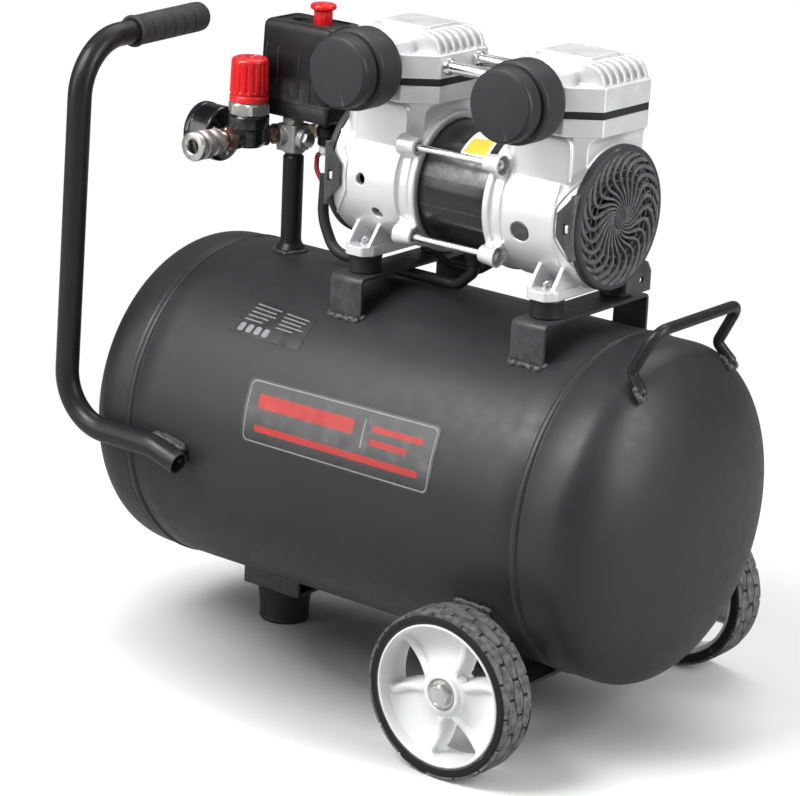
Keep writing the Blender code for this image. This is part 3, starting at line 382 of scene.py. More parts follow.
def soft(points, r=0.6, n=3, closed=False):
    """Rounds the corners of a polyline; a point may carry its own radius as a third number."""
    out, m = [], len(points)
    P = [Vector(p[:2]) for p in points]
    for i, p in enumerate(points):
        radius = p[2] if len(p) > 2 else r
        if (not closed and i in (0, m - 1)) or radius <= 0:
            out.append(tuple(P[i]))
            continue
        a, b = P[i - 1] - P[i], P[(i + 1) % m] - P[i]
        if a.length < 1e-6 or b.length < 1e-6:
            continue
        turn = a.angle(b)
        if turn > math.radians(174):
            out.append(tuple(P[i]))
            continue
        t = min(radius / math.tan(turn / 2), a.length * 0.49, b.length * 0.49)
        s, e = P[i] + a.normalized() * t, P[i] + b.normalized() * t
        for k in range(n + 1):
            u = k / n
            out.append(tuple(s * (1 - u) ** 2 + P[i] * 2 * u * (1 - u) + e * u * u))
    return out


def turned(profile, seg=96, ring=False, phase=0.0, wave=None):
    """Surface of revolution about local Z from (radius, height) points. wave(angle, r, h) may change the radius."""
    bm = bmesh.new()
    rows = []
    for r, h in profile:
        if r < 1e-6:
            rows.append([bm.verts.new((0, 0, h))])
        else:
            row = []
            for k in range(seg):
                a = phase + 2 * PI * k / seg
                q = wave(a, r, h) if wave else r
                row.append(bm.verts.new((q * math.cos(a), q * math.sin(a), h)))
            rows.append(row)
    pairs = list(zip(rows, rows[1:]))
    if ring:
        pairs.append((rows[-1], rows[0]))
    for a, b in pairs:
        for k in range(seg):
            n = (k + 1) % seg
            if len(a) == 1 and len(b) == 1:
                continue
            if len(a) == 1:
                bm.faces.new((a[0], b[n], b[k]))
            elif len(b) == 1:
                bm.faces.new((a[k], a[n], b[0]))
            else:
                bm.faces.new((a[k], a[n], b[n], b[k]))
    return bm


def sector(profile, a0, a1, seg=40):
    """Part of a turned ring between two angles (degrees), with closed ends. The profile is a closed loop."""
    bm = bmesh.new()
    rows = []
    for k in range(seg + 1):
        a = math.radians(a0 + (a1 - a0) * k / seg)
        rows.append([bm.verts.new((r * math.cos(a), r * math.sin(a), h)) for r, h in profile])
    n = len(profile)
    for p, q in zip(rows, rows[1:]):
        for k in range(n):
            bm.faces.new((p[k], p[(k + 1) % n], q[(k + 1) % n], q[k]))
    bm.faces.new(rows[0])
    bm.faces.new(rows[-1][::-1])
    return bm


def rod(radius, h0, h1, seg=64, edge=0.4):
    return turned(soft([(0, h0), (radius, h0), (radius, h1), (0, h1)], edge, 3), seg)


def plain_rod(radius, h0, h1, seg=48, phase=0.0):
    return turned([(0, h0), (radius, h0), (radius, h1), (0, h1)], seg, phase=phase)


def prism(outline, h0, h1):
    bm = bmesh.new()
    low = [bm.verts.new((x, y, h0)) for x, y in outline]
    top = [bm.verts.new((x, y, h1)) for x, y in outline]
    n = len(outline)
    bm.faces.new(low[::-1])
    bm.faces.new(top)
    for k in range(n):
        bm.faces.new((low[k], low[(k + 1) % n], top[(k + 1) % n], top[k]))
    return bm


def loft(outlines):
    bm = bmesh.new()
    rows = [[bm.verts.new((x, y, z)) for x, y in pts] for z, pts in outlines]
    n = len(rows[0])
    bm.faces.new(rows[0][::-1])
    bm.faces.new(rows[-1])
    for a, b in zip(rows, rows[1:]):
        for k in range(n):
            bm.faces.new((a[k], a[(k + 1) % n], b[(k + 1) % n], b[k]))
    return bm


def block(x0, x1, y0, y1, z0, z1):
    return prism([(x0, y0), (x1, y0), (x1, y1), (x0, y1)], z0, z1)


def rounded(x0, x1, y0, y1, r, steps=5):
    points = []
    for cx, cy, start in ((x1 - r, y1 - r, 0), (x0 + r, y1 - r, 90), (x0 + r, y0 + r, 180), (x1 - r, y0 + r, 270)):
        for k in range(steps + 1):
            a = math.radians(start + 90 * k / steps)
            points.append((cx + r * math.cos(a), cy + r * math.sin(a)))
    return points


def hexagon(r, phase=0.0):
    return [(r * math.cos(phase + PI / 3 * k), r * math.sin(phase + PI / 3 * k)) for k in range(6)]


def hex_nut(r, h0, h1, phase=0.0, chamfer=0.9, bore=0.0):
    """A hexagonal nut with turned chamfers: r is the corner radius."""
    bm = bmesh.new()
    seg = 72
    flat = r * math.cos(PI / 6)
    rows = []
    for h, limit in ((h0, flat * 0.985), (h0 + chamfer, r), (h1 - chamfer, r), (h1, flat * 0.985)):
        row = []
        for k in range(seg):
            a = 2 * PI * k / seg
            w = ((a - phase) % (PI / 3)) - PI / 6
            q = min(flat / math.cos(w), limit)
            row.append(bm.verts.new((q * math.cos(a), q * math.sin(a), h)))
        rows.append(row)
    if bore:
        rows.append([bm.verts.new((bore * math.cos(2 * PI * k / seg), bore * math.sin(2 * PI * k / seg), h1)) for k in range(seg)])
        rows.append([bm.verts.new((bore * math.cos(2 * PI * k / seg), bore * math.sin(2 * PI * k / seg), h0)) for k in range(seg)])
        rows.append(rows[0])
    else:
        bm.faces.new(rows[0][::-1])
        bm.faces.new(rows[-1])
    for a, b in zip(rows, rows[1:]):
        for k in range(seg):
            bm.faces.new((a[k], a[(k + 1) % seg], b[(k + 1) % seg], b[k]))
    return bm


def bent(corners, radii, steps=14):
    path = [Vector(corners[0])]
    for k in range(1, len(corners) - 1):
        p = Vector(corners[k])
        a = (Vector(corners[k - 1]) - p).normalized()
        b = (Vector(corners[k + 1]) - p).normalized()
        half = a.angle(b) / 2
        radius = radii[k - 1]
        reach = radius / math.tan(half)
        centre = p + (a + b).normalized() * (radius / math.sin(half))
        start, end = p + a * reach - centre, p + b * reach - centre
        sweep = start.angle(end)
        for s in range(steps + 1):
            t = s / steps
            path.append(centre + (start * math.sin((1 - t) * sweep) + end * math.sin(t * sweep)) / math.sin(sweep))
    path.append(Vector(corners[-1]))
    return path


def resample(path, step):
    out = [path[0]]
    for a, b in zip(path, path[1:]):
        n = max(1, round((b - a).length / step))
        for k in range(1, n + 1):
            out.append(a.lerp(b, k / n))
    return out


def swept(path, radius, seg=32, bore=None, flatten=None, twist=None):
    """A bar along a path. radius may be a function of (index, angle). bore=(radius, depth) opens the first end."""
    bm = bmesh.new()
    tangent = (path[1] - path[0]).normalized()
    side = tangent.orthogonal().normalized()
    rows, frames = [], []
    for k, p in enumerate(path):
        if 0 < k < len(path) - 1:
            new = ((path[k + 1] - p).normalized() + (p - path[k - 1]).normalized()).normalized()
        elif k:
            new = (p - path[k - 1]).normalized()
        else:
            new = tangent
        side = tangent.rotation_difference(new) @ side
        side = (side - new * side.dot(new)).normalized()
        tangent = new
        frames.append((p, side.copy(), tangent.cross(side), tangent.copy()))
    def ring(f, r, index):
        p, s, o, _ = f
        row = []
        for j in range(seg):
            a = 2 * PI * j / seg
            q = r(index, a) if callable(r) else r
            row.append(bm.verts.new(p + (s * math.cos(a) + o * math.sin(a)) * q))
        return row
    if bore:
        r_in, depth = bore
        p, s, o, t = frames[0]
        rows.append(ring((p + t * depth, s, o, t), r_in, 0))
        rows.append(ring(frames[0], r_in, 0))
    for index, f in enumerate(frames):
        rows.append(ring(f, radius, index))
    bm.faces.new(rows[0][::-1])
    bm.faces.new(rows[-1])
    for a, b in zip(rows, rows[1:]):
        for j in range(seg):
            bm.faces.new((a[j], a[(j + 1) % seg], b[(j + 1) % seg], b[j]))
    return bm


def weld(name, points, radius=2.2, seed=1.0, flat=0.8):
    """A hand-laid weld bead along a line of points, with ripples and lumps."""
    path = resample([Vector(p) for p in points], 0.7)
    moved = []
    for k, p in enumerate(path):
        jitter = noise.noise_vector(Vector((k * 0.17, seed, seed * 2.1))) * 0.45 * radius * 0.5
        moved.append(p + jitter)
    last = len(moved) - 1

    def size(k, a):
        ends = min(1.0, (min(k, last - k) + 1.2) / 4.0) ** 0.5
        lump = 1.0 + 0.34 * noise.noise(Vector((k * 0.21, math.cos(a) * 0.8 + seed, math.sin(a) * 0.8)))
        ripple = 1.0 + 0.10 * math.sin(k * 2.1 + 1.4 * math.cos(a))
        return radius * ends * lump * ripple
    return make(name, swept(moved, size, 14), "weld", angle=70)


def put(obj, *nodes, body=None, slot=None):
    """The piece rides on a body and, where nodes are given, stands for them."""
    if body is None:
        body = BODY_OF[nodes[0]] if nodes else MAIN
    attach(obj, body)
    if nodes:
        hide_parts(*nodes)
    slot = slot or (SLOT_OF[nodes[0]] if nodes else None)
    return obj


def join(name, objs):
    """Several meshes as one piece, each with its own material."""
    bm = bmesh.new()
    looks = []
    for o in objs:
        for look in o.data.materials:
            if look not in looks:
                looks.append(look)
    for o in objs:
        index = looks.index(o.data.materials[0]) if o.data.materials else 0
        for f in o.data.polygons:
            f.material_index = index
        bm.from_mesh(o.data)
    mesh = bpy.data.meshes.new(name)
    bm.to_mesh(mesh)
    bm.free()
    for look in looks:
        mesh.materials.append(look)
    obj = bpy.data.objects.new(name, mesh)
    bpy.context.scene.collection.objects.link(obj)
    for o in objs:
        data = o.data
        bpy.data.objects.remove(o, do_unlink=True)
        bpy.data.meshes.remove(data)
    obj["angle"] = 38
    return obj


# ================================================================ air tank
def dish(flange, depth, power, steps):
    points = []
    for k in range(steps + 1):
        a = PI / 2 * k / steps
        points.append((TANK_R * math.sin(a) ** (2 / power), flange + depth * max(math.cos(a), 0) ** (2 / power)))
    points[0] = (0, points[0][1])
    points[-1] = (TANK_R, flange)
    return points


def spaced(points, gap):
    """Drops points closer together than gap."""
    out = [points[0]]
    for p in points[1:-1]:
        if (Vector(p) - Vector(out[-1])).length > gap and (Vector(p) - Vector(points[-1])).length > gap:
            out.append(p)
    return out + [points[-1]]


left = [(r, -(SEAM_X + d)) for r, d in spaced(dish(*END_HANDLE, 70), 1.6)]
right = [(r, SEAM_X + d) for r, d in spaced(dish(*END_WHEEL, 70), 1.6)][::-1]
mid = []
for s in (-1, 1):
    seam = [(-5.2, 0.0), (-4.0, -0.5), (-3.1, -0.45), (-2.4, 0.5), (-1.2, 0.95), (0.0, 1.0), (1.2, 0.95), (2.4, 0.5),
            (3.1, -0.45), (4.0, -0.5), (5.2, 0.0)]
    seam = [(TANK_R + dr, s * SEAM_X + dx) for dx, dr in seam]
    mid += seam
rolled = []
for k in range(1, 24):
    x = -SEAM_X + 6 + (2 * SEAM_X - 12) * k / 24
    rolled.append((TANK_R, x))
profile = [p for p in left if p[1] < -SEAM_X - 5.4] + mid[:11] + rolled + mid[11:] + [p for p in right if p[1] > SEAM_X + 5.4]


def tank_wave(a, r, h):
    # The seams are hand-fed welds: their crest wanders by a few tenths.
    near = max(0.0, 1 - abs(abs(h) - SEAM_X) / 4.0)
    return r + near * 0.28 * noise.noise(Vector((math.cos(a) * 9, math.sin(a) * 9, h * 0.02)))


tank = make("tank_shell", turned(profile, 200, wave=tank_wave), "powder", (0, 0, TANK_Z), ALONG_X, angle=50)
put(tank, "air_tank")


def patch(name, corners, look, rect=(0, 0, 1, 1), lift=0.35, under=0.3, radius=4.0, cols=40, rows=18, R=TANK_R, cy=0.0, cz=TANK_Z):
    """A film on a cylinder. corners: (x, angle in degrees above the front) of top left, top right, low right, low left."""
    (x0, a0), (x1, a1), (x2, a2), (x3, a3) = corners
    u0, v0, u1, v1 = rect

    def place(u, v, r):
        top = (x0 + (x1 - x0) * u, a0 + (a1 - a0) * u)
        low = (x3 + (x2 - x3) * u, a3 + (a2 - a3) * u)
        x, a = top[0] + (low[0] - top[0]) * v, math.radians(top[1] + (low[1] - top[1]) * v)
        return (x, cy - r * math.cos(a), cz + r * math.sin(a))
    wide = abs(x1 - x0) * (u1 - u0)
    high = math.radians(abs(a0 - a3)) * R * (v1 - v0)
    rad = min(radius, wide / 2 - 0.01, high / 2 - 0.01)
    us = [rad * (1 - math.cos(PI / 2 * k / 6)) for k in range(7)] if rad > 0.05 else [0.0]
    us = us + [us[-1] + (wide - 2 * us[-1]) * k / cols for k in range(1, cols)] + [wide - q for q in us[::-1]]
    bm = bmesh.new()
    top, low = [], []
    for q in us:
        d = min(q, wide - q)
        inset = rad - math.sqrt(max(rad ** 2 - (rad - d) ** 2, 0)) if d < rad else 0.0
        line = [inset + (high - 2 * inset) * k / rows for k in range(rows + 1)]
        u = u0 + (u1 - u0) * q / wide
        top.append([bm.verts.new(place(u, v0 + (v1 - v0) * w / high, R + lift)) for w in line])
        low.append([bm.verts.new(place(u, v0 + (v1 - v0) * w / high, R - under)) for w in line])
    n = len(us)
    for i in range(n - 1):
        for j in range(rows):
            bm.faces.new((top[i][j], top[i][j + 1], top[i + 1][j + 1], top[i + 1][j]))
            bm.faces.new((low[i][j], low[i + 1][j], low[i + 1][j + 1], low[i][j + 1]))
        bm.faces.new((top[i][0], top[i + 1][0], low[i + 1][0], low[i][0]))
        bm.faces.new((top[i][rows], low[i][rows], low[i + 1][rows], top[i + 1][rows]))
    for i in (0, n - 1):
        for j in range(rows):
            bm.faces.new((top[i][j], low[i][j], low[i][j + 1], top[i][j + 1]))
    bmesh.ops.remove_doubles(bm, verts=bm.verts, dist=1e-4)
    return make(name, bm, look, angle=50)


BIG = ((-78.5, 29.4), (109.9, 30.4), (112.2, 7.6), (-75.0, 7.7))
PLATE = ((-113.8, 57.8), (-47.4, 55.4), (-46.8, 41.9), (-121.2, 42.4))
put(patch("front_label", BIG, "label", lift=0.30, radius=5.0), body=MAIN, slot="charcoal_powder_coat")
put(join("front_label_marks", [
    patch("m1", BIG, "label_grey", (0.012, 0.03, 0.988, 0.97), lift=0.34, under=-0.28, radius=4.4),
]), body=MAIN, slot="charcoal_powder_coat")
put(join("front_label_panel", [
    patch("m2", BIG, "label", (0.017, 0.05, 0.983, 0.95), lift=0.38, under=-0.30, radius=4.0),
    patch("m3", BIG, "label_red", (0.070, 0.22, 0.575, 0.44), lift=0.42, under=-0.34, radius=0.8),
    patch("m4", BIG, "label_red", (0.070, 0.70, 0.930, 0.80), lift=0.42, under=-0.34, radius=0.5),
    patch("m5", BIG, "label_grey", (0.625, 0.18, 0.632, 0.60), lift=0.42, under=-0.34, radius=0.2, cols=2),
    patch("m6", BIG, "label_red", (0.670, 0.24, 0.930, 0.33), lift=0.42, under=-0.34, radius=0.5),
    patch("m7", BIG, "label_red", (0.670, 0.44, 0.860, 0.53), lift=0.42, under=-0.34, radius=0.5),
]), body=MAIN, slot="charcoal_powder_coat")
put(patch("rating_plate", PLATE, "label", lift=0.30, radius=3.0), body=MAIN, slot="charcoal_powder_coat")
bars = []
for k, (u0, u1, v0, v1) in enumerate((
        (0.10, 0.48, 0.14, 0.17), (0.10, 0.44, 0.25, 0.28), (0.10, 0.47, 0.36, 0.39), (0.10, 0.40, 0.47, 0.50), (0.10, 0.36, 0.58, 0.61),
        (0.56, 0.92, 0.14, 0.17), (0.56, 0.90, 0.25, 0.28), (0.56, 0.86, 0.36, 0.39), (0.56, 0.92, 0.47, 0.50), (0.56, 0.80, 0.58, 0.61))):
    bars.append(patch(f"bar{k}", PLATE, "label_grey", (u0, v0, u1, v1), lift=0.34, under=-0.28, radius=0.3, cols=4, rows=4))
for k in range(4):
    u = 0.10 + 0.115 * k
    bars.append(patch(f"dot{k}", PLATE, "label_grey", (u, 0.70, u + 0.078, 0.92), lift=0.34, under=-0.28, radius=2.0, cols=4, rows=6))
put(join("rating_plate_blanks", bars), body=MAIN, slot="charcoal_powder_coat")

# ---------------------------------------------------------------- riser pipe and its foot
riser = make("riser_tube", turned(soft([
    (5.0, TOP - 7), (8.5, TOP - 7), (8.5, TOP + 0.6), (12.4, TOP + 0.6), (12.2, TOP + 2.2), (10.8, TOP + 4.6), (9.0, TOP + 7.0), (8.5, TOP + 10),
    (8.5, 397.2), (7.6, 398.6), (6.8, 399.2), (6.8, 402.2), (5.0, 402.2)], 0.8, 3), 72, ring=True), "tube", (RISER_X, 0, 0))
put(riser, "riser_pipe")
ring_pts = []
for k in range(41):
    a = 2 * PI * k / 40
    y = 12.6 * math.sin(a)
    ring_pts.append((RISER_X + 12.6 * math.cos(a), y, TANK_Z + math.sqrt(TANK_R ** 2 - y * y) + 0.8))
put(weld("riser_weld", ring_pts, 1.5, 3.0), body=MAIN, slot="charcoal_powder_coat")

# ---------------------------------------------------------------- drain valve
drain = make("drain_valve", turned(soft([
    (2.0, 37.5), (7.0, 37.5), (7.0, 39.0), (8.4, 39.4), (8.4, 42.0), (6.4, 43.0), (6.2, 47.5), (6.2, 54.0), (2.0, 54.0)], 0.4, 2), 48, ring=True),
    "brass", (DRAIN_X, 0, 0))
add(drain, hex_nut(9.0, 42.5, 48.0, bore=0.0), (DRAIN_X, 0, 0))
put(drain, "drain_valve_body")
knob = make("drain_thumb_knob", turned(soft([(0, 25.0), (8.6, 25.0), (9.8, 26.4), (9.8, 33.2), (7.6, 36.6), (0, 36.6)], 0.9, 3), 120,
            wave=lambda a, r, h: r * (1 - (0.045 if r > 7 else 0) * (0.5 + 0.5 * math.cos(14 * a)))), "switch", (DRAIN_X, 0, 0), angle=30)
cut(knob, block(-12, 12, -1.4, 1.4, 20, 27.5), (DRAIN_X, 0, 0))
put(knob, "drain_valve_knob")

# ================================================================ tow handle
top_corner, grip_end = (-239.2, HANDLE_Y, 493.2), (-246.4, -4.0, 495.9)
handle_path = resample(bent([(-128.0, HANDLE_Y, 172.5), (-157.0, HANDLE_Y, 181.0), (-253.3, HANDLE_Y, 181.0), top_corner, grip_end],
                            [40, 42, 45], 26), 6.0)
handle = make("tow_handle_tube", swept(handle_path, HANDLE_R, 56, bore=(7.7, 20)), "tube", angle=50)
bevel(handle, 0.5, 2, 50)
put(handle, "trolley_handle")
strip = []
for k in range(16):
    x = -163 + 34 * k / 15
    strip.append((x, -138.3 + 0.5 * math.sin(k * 1.3), 187.4 - (0 if x < -157 else (x + 157) * 0.18)))
put(weld("handle_weld_upper", strip, 2.9, 5.0), body=MAIN, slot="charcoal_powder_coat")
strip = [(-160 + 28 * k / 15, -137.2, 175.0 - 0.24 * k) for k in range(16)]
put(weld("handle_weld_lower", strip, 2.4, 8.0), body=MAIN, slot="charcoal_powder_coat")
plate = make("handle_weld_strap", prism(soft([(-161, 178.0), (-161, 189.2), (-150, 190.2), (-131, 186.0), (-129, 180.5), (-140, 176.0)], 1.5, 3, True), 0, 2.4),
             "weld", (0, -135.2, 0), (PI / 2, 0, 0), angle=40)
bevel(plate, 0.8, 2)
put(plate, body=MAIN, slot="charcoal_powder_coat")

grip_dir = (Vector(grip_end) - Vector(top_corner)).normalized()
grip_start = Vector(grip_end) - grip_dir * 82.0
grip_rot = tuple(grip_dir.to_track_quat("Z", "Y").to_euler())
pts = [(9.9, 1.2), (10.2, 0.0, 0.5), (12.9, 0.2, 0.9), (13.0, 2.2, 0.5), (12.3, 3.4, 0.5), (12.1, 9.0)]
for k in range(5):
    h = 15.0 + 12.9 * k
    pts += [(12.15, h - 0.9, 0.35), (11.1, h - 0.35, 0.2), (11.1, h + 0.35, 0.2), (12.15, h + 0.9, 0.35)]
pts += [(12.2, 79.5), (11.8, 84.6, 2.0), (9.0, 88.6, 3.0), (0, 89.4)]
grip = make("grip_sleeve", turned([(9.9, 84.0), (0, 84.0)][::-1] + soft(pts, 0.4, 3), 110), "grip", tuple(grip_start), grip_rot, angle=34)
put(grip, "handle_grip")

# ================================================================ lift handle on the dished end
lift_pts = [(249.2, -60.5, 297.2), (236.2, -57.6, 311.0), (254.5, -56.2, 345.5), (254.5, 56.2, 345.5), (236.2, 57.6, 311.0), (249.2, 60.5, 297.2)]
lift = make("lift_handle_rod", swept(resample(bent(lift_pts, [5, 13, 13, 5], 14), 4.0), 4.3, 40), "tube", angle=50)
bevel(lift, 0.7, 2, 50)
put(lift, "lift_handle")
for s, tag in ((-1, "front"), (1, "rear")):
    a = [(241.0, s * 56.0, 303.0), (246.5, s * 56.6, 296.8), (251.0, s * 59.5, 292.6)]
    b = [(243.0, s * 62.5, 302.0), (248.5, s * 64.0, 296.2), (251.6, s * 62.0, 292.0)]
    put(weld(f"lift_weld_{tag}_a", a, 2.7, 11.0 + s), body=MAIN, slot="charcoal_powder_coat")
    put(weld(f"lift_weld_{tag}_b", b, 2.5, 14.0 + s), body=MAIN, slot="charcoal_powder_coat")


# ================================================================ brackets and rubber mounts
def channel(y_out, top, t, r, low_out, low_in):
    out = [(-y_out, low_out, 0)]
    out += [(-y_out, top, r), (y_out, top, r), (y_out, low_out, 0), (y_out - t, low_in, 0), (y_out - t, top - t, max(r - t, 0.3)),
            (-(y_out - t), top - t, max(r - t, 0.3)), (-(y_out - t), low_in, 0)]
    return soft(out, 0.0, 6, True)


LOW = TANK_Z + math.sqrt(TANK_R ** 2 - (BRACKET_Y - BRACKET_T) ** 2)
for side, bx in BRACKET_X.items():
    shape = channel(BRACKET_Y, BRACKET_TOP, BRACKET_T, 6.0, LOW - 1.6, LOW + 0.2)
    bracket = make(f"pump_bracket_{side}", prism([(z, y) for y, z in shape], -BRACKET_HW, BRACKET_HW), "powder", (bx, 0, 0),
                   (PI, -PI / 2, 0), angle=35)
    bevel(bracket, 0.55, 2, 40)
    put(bracket, f"mount_bracket_{side}")
    for s, tag in ((-1, "front"), (1, "rear")):
        beads = []
        y = s * (BRACKET_Y + 1.2)
        zz = TANK_Z + math.sqrt(TANK_R ** 2 - y * y) + 0.7
        line = [(bx - BRACKET_HW - 0.5 + 2.066 * k, y + 0.5 * math.sin(k * 1.7), zz + 0.3 * math.sin(k * 2.3)) for k in range(16)]
        beads.append(weld("bead", line, 2.3, 20 + bx + s))
        for e in (-1, 1):
            line = [(bx + e * (BRACKET_HW + 0.6), s * (BRACKET_Y - 0.5 - 0.7 * k), TANK_Z + math.sqrt(TANK_R ** 2 - (BRACKET_Y - 0.5 - 0.7 * k) ** 2) + 0.6) for k in range(7)]
            beads.append(weld("bead", line, 1.9, 31 + bx * e + s))
        put(join(f"bracket_weld_{side}_{tag}", beads), body=MAIN, slot="charcoal_powder_coat")
        my = s * MOUNT_Y
        mount = make(f"rubber_buffer_{tag}_{side}", turned(soft([
            (0, BRACKET_TOP + 0.2), (12.6, BRACKET_TOP + 0.2), (13.3, BRACKET_TOP + 1.2), (12.9, 336.5, 2), (12.7, 340.5, 2), (12.9, 344.0, 2),
            (13.3, 346.4), (12.6, 347.8), (0, 347.8)], 0.5, 3), 72), "rubber", (bx, my, 0), angle=40)
        stud = make("stud", turned(soft([(0, 345), (2.9, 345), (2.9, 360.6), (2.2, 361.2), (0, 361.2)], 0.2, 1), 24,
                                   wave=lambda a, r, h: r), "zinc_y", (bx, my, 0))
        washer = make("washer", turned(soft([(0, 356.0), (6.2, 356.0), (6.2, 357.2), (0, 357.2)], 0.2, 2), 40), "steel", (bx, my, 0))
        nut = make("nut", hex_nut(5.0, 357.2, 360.0, 0.3, 0.5), "steel", (bx, my, 0), angle=30)
        put(join(f"rubber_mount_{tag}_{side}_set", [mount, stud, washer, nut]), f"rubber_mount_{tag}_{side}")

# ================================================================ wheels
LEG_Y = 122.0
axle = make("axle_channel", block(132.0, 170.0, -LEG_Y, LEG_Y, 45.6, 48.6), "powder")
for s in (-1, 1):
    leg = soft([(132.0, 45.6, 1), (170.0, 45.6, 1), (170.0, 112.0, 4), (165.0, 121.2, 5), (137.0, 121.2, 5), (132.0, 112.0, 4)], 3, 4, True)
    add(axle, prism(leg, -1.5, 1.5), (0, s * (LEG_Y - 1.5), 0), (PI / 2, 0, 0))
    cut(axle, plain_rod(AXLE_R + 0.4, -4, 4, 40), (WHEEL_X, s * (LEG_Y - 1.5), WHEEL_R), (PI / 2, 0, 0))
bevel(axle, 0.5, 2)
put(axle, "axle_bracket")
for s, tag in ((-1, "front"), (1, "rear")):
    y = LEG_Y - 3.2
    zz = TANK_Z - math.sqrt(TANK_R ** 2 - y * y)
    line = [(132.5 + 2.4 * k, s * (y + 2.9 + 0.2 * math.sin(k * 1.9)), zz + 2.0 + 0.2 * math.sin(k * 1.1)) for k in range(16)]
    put(weld(f"axle_weld_{tag}", line, 2.1, 41 + s), body=MAIN, slot="charcoal_powder_coat")


def rim_height(r, offset, half):
    """Front face of a petal: dished between its raised edges, falling from the lip to a waist and rising to the hub."""
    t = (r - 20.0) / (53.4 - 20.0)
    base_h = 22.6 - 6.6 * math.sin(PI * min(max(t, 0), 1)) ** 0.8 + 1.8 * t
    edge = 1 - abs(offset) / max(half, 1e-3)          # 0 at the petal's edge, 1 in its middle
    inward = edge * half                              # mm in from that edge
    ridge = max(0.0, 1 - ((inward - 2.8) / 4.2) ** 2) ** 0.5 if inward > 0.2 else 0.35
    return base_h + 4.0 * ridge * (1 - 0.85 * max(t, 0.0) ** 5) * min(1.0, max(0.15, (r - 17.0) / 7.0))


def petal(mid_angle):
    """One broad spoke of the rim as a closed solid with raised, rounded edges."""
    bm = bmesh.new()
    rings = 26
    cols = 64
    top, low = [], []
    for i in range(rings + 1):
        r = 16.5 + (53.6 - 16.5) * i / rings
        q = max(0.0, min(1.0, (r - 21.5) / (50.5 - 21.5)))
        gap = math.radians(13.5 + (25.0 - 13.5) * q)      # half the window's angle at this radius
        if r > 49.0:
            gap = gap - math.radians(7.0) * ((r - 49.0) / 4.6) ** 2
        if r < 23.5:
            gap = gap - math.radians(12.0) * ((23.5 - r) / 7.0) ** 1.2
        half_a = math.radians(60) - max(gap, math.radians(0.8))
        half = half_a * r
        t_row, l_row = [], []
        for j in range(cols + 1):
            w = -1 + 2 * j / cols
            w = math.copysign(abs(w) ** 0.62, w)
            a = mid_angle + w * half_a
            h = rim_height(r, w * half, half)
            soft_edge = max(0.0, (abs(w) - 0.985) / 0.015)
            t_row.append(bm.verts.new((r * math.cos(a), r * math.sin(a), h - 0.9 * soft_edge)))
            deep = abs(w) > 0.93
            a_low = mid_angle + w * (half_a + (1.9 / r if deep and 22.0 < r < 49.5 else 0.0))
            l_row.append(bm.verts.new((r * math.cos(a_low), r * math.sin(a_low), 6.0 if deep else 11.0)))
        top.append(t_row)
        low.append(l_row)
    for i in range(rings):
        for j in range(cols):
            bm.faces.new((top[i][j], top[i + 1][j], top[i + 1][j + 1], top[i][j + 1]))
            bm.faces.new((low[i][j], low[i][j + 1], low[i + 1][j + 1], low[i + 1][j]))
        bm.faces.new((top[i][0], low[i][0], low[i + 1][0], top[i + 1][0]))
        bm.faces.new((top[i][cols], top[i + 1][cols], low[i + 1][cols], low[i][cols]))
    for j in range(cols):
        bm.faces.new((top[0][j], top[0][j + 1], low[0][j + 1], low[0][j]))
        bm.faces.new((top[rings][j], low[rings][j], low[rings][j + 1], top[rings][j + 1]))
    return bm


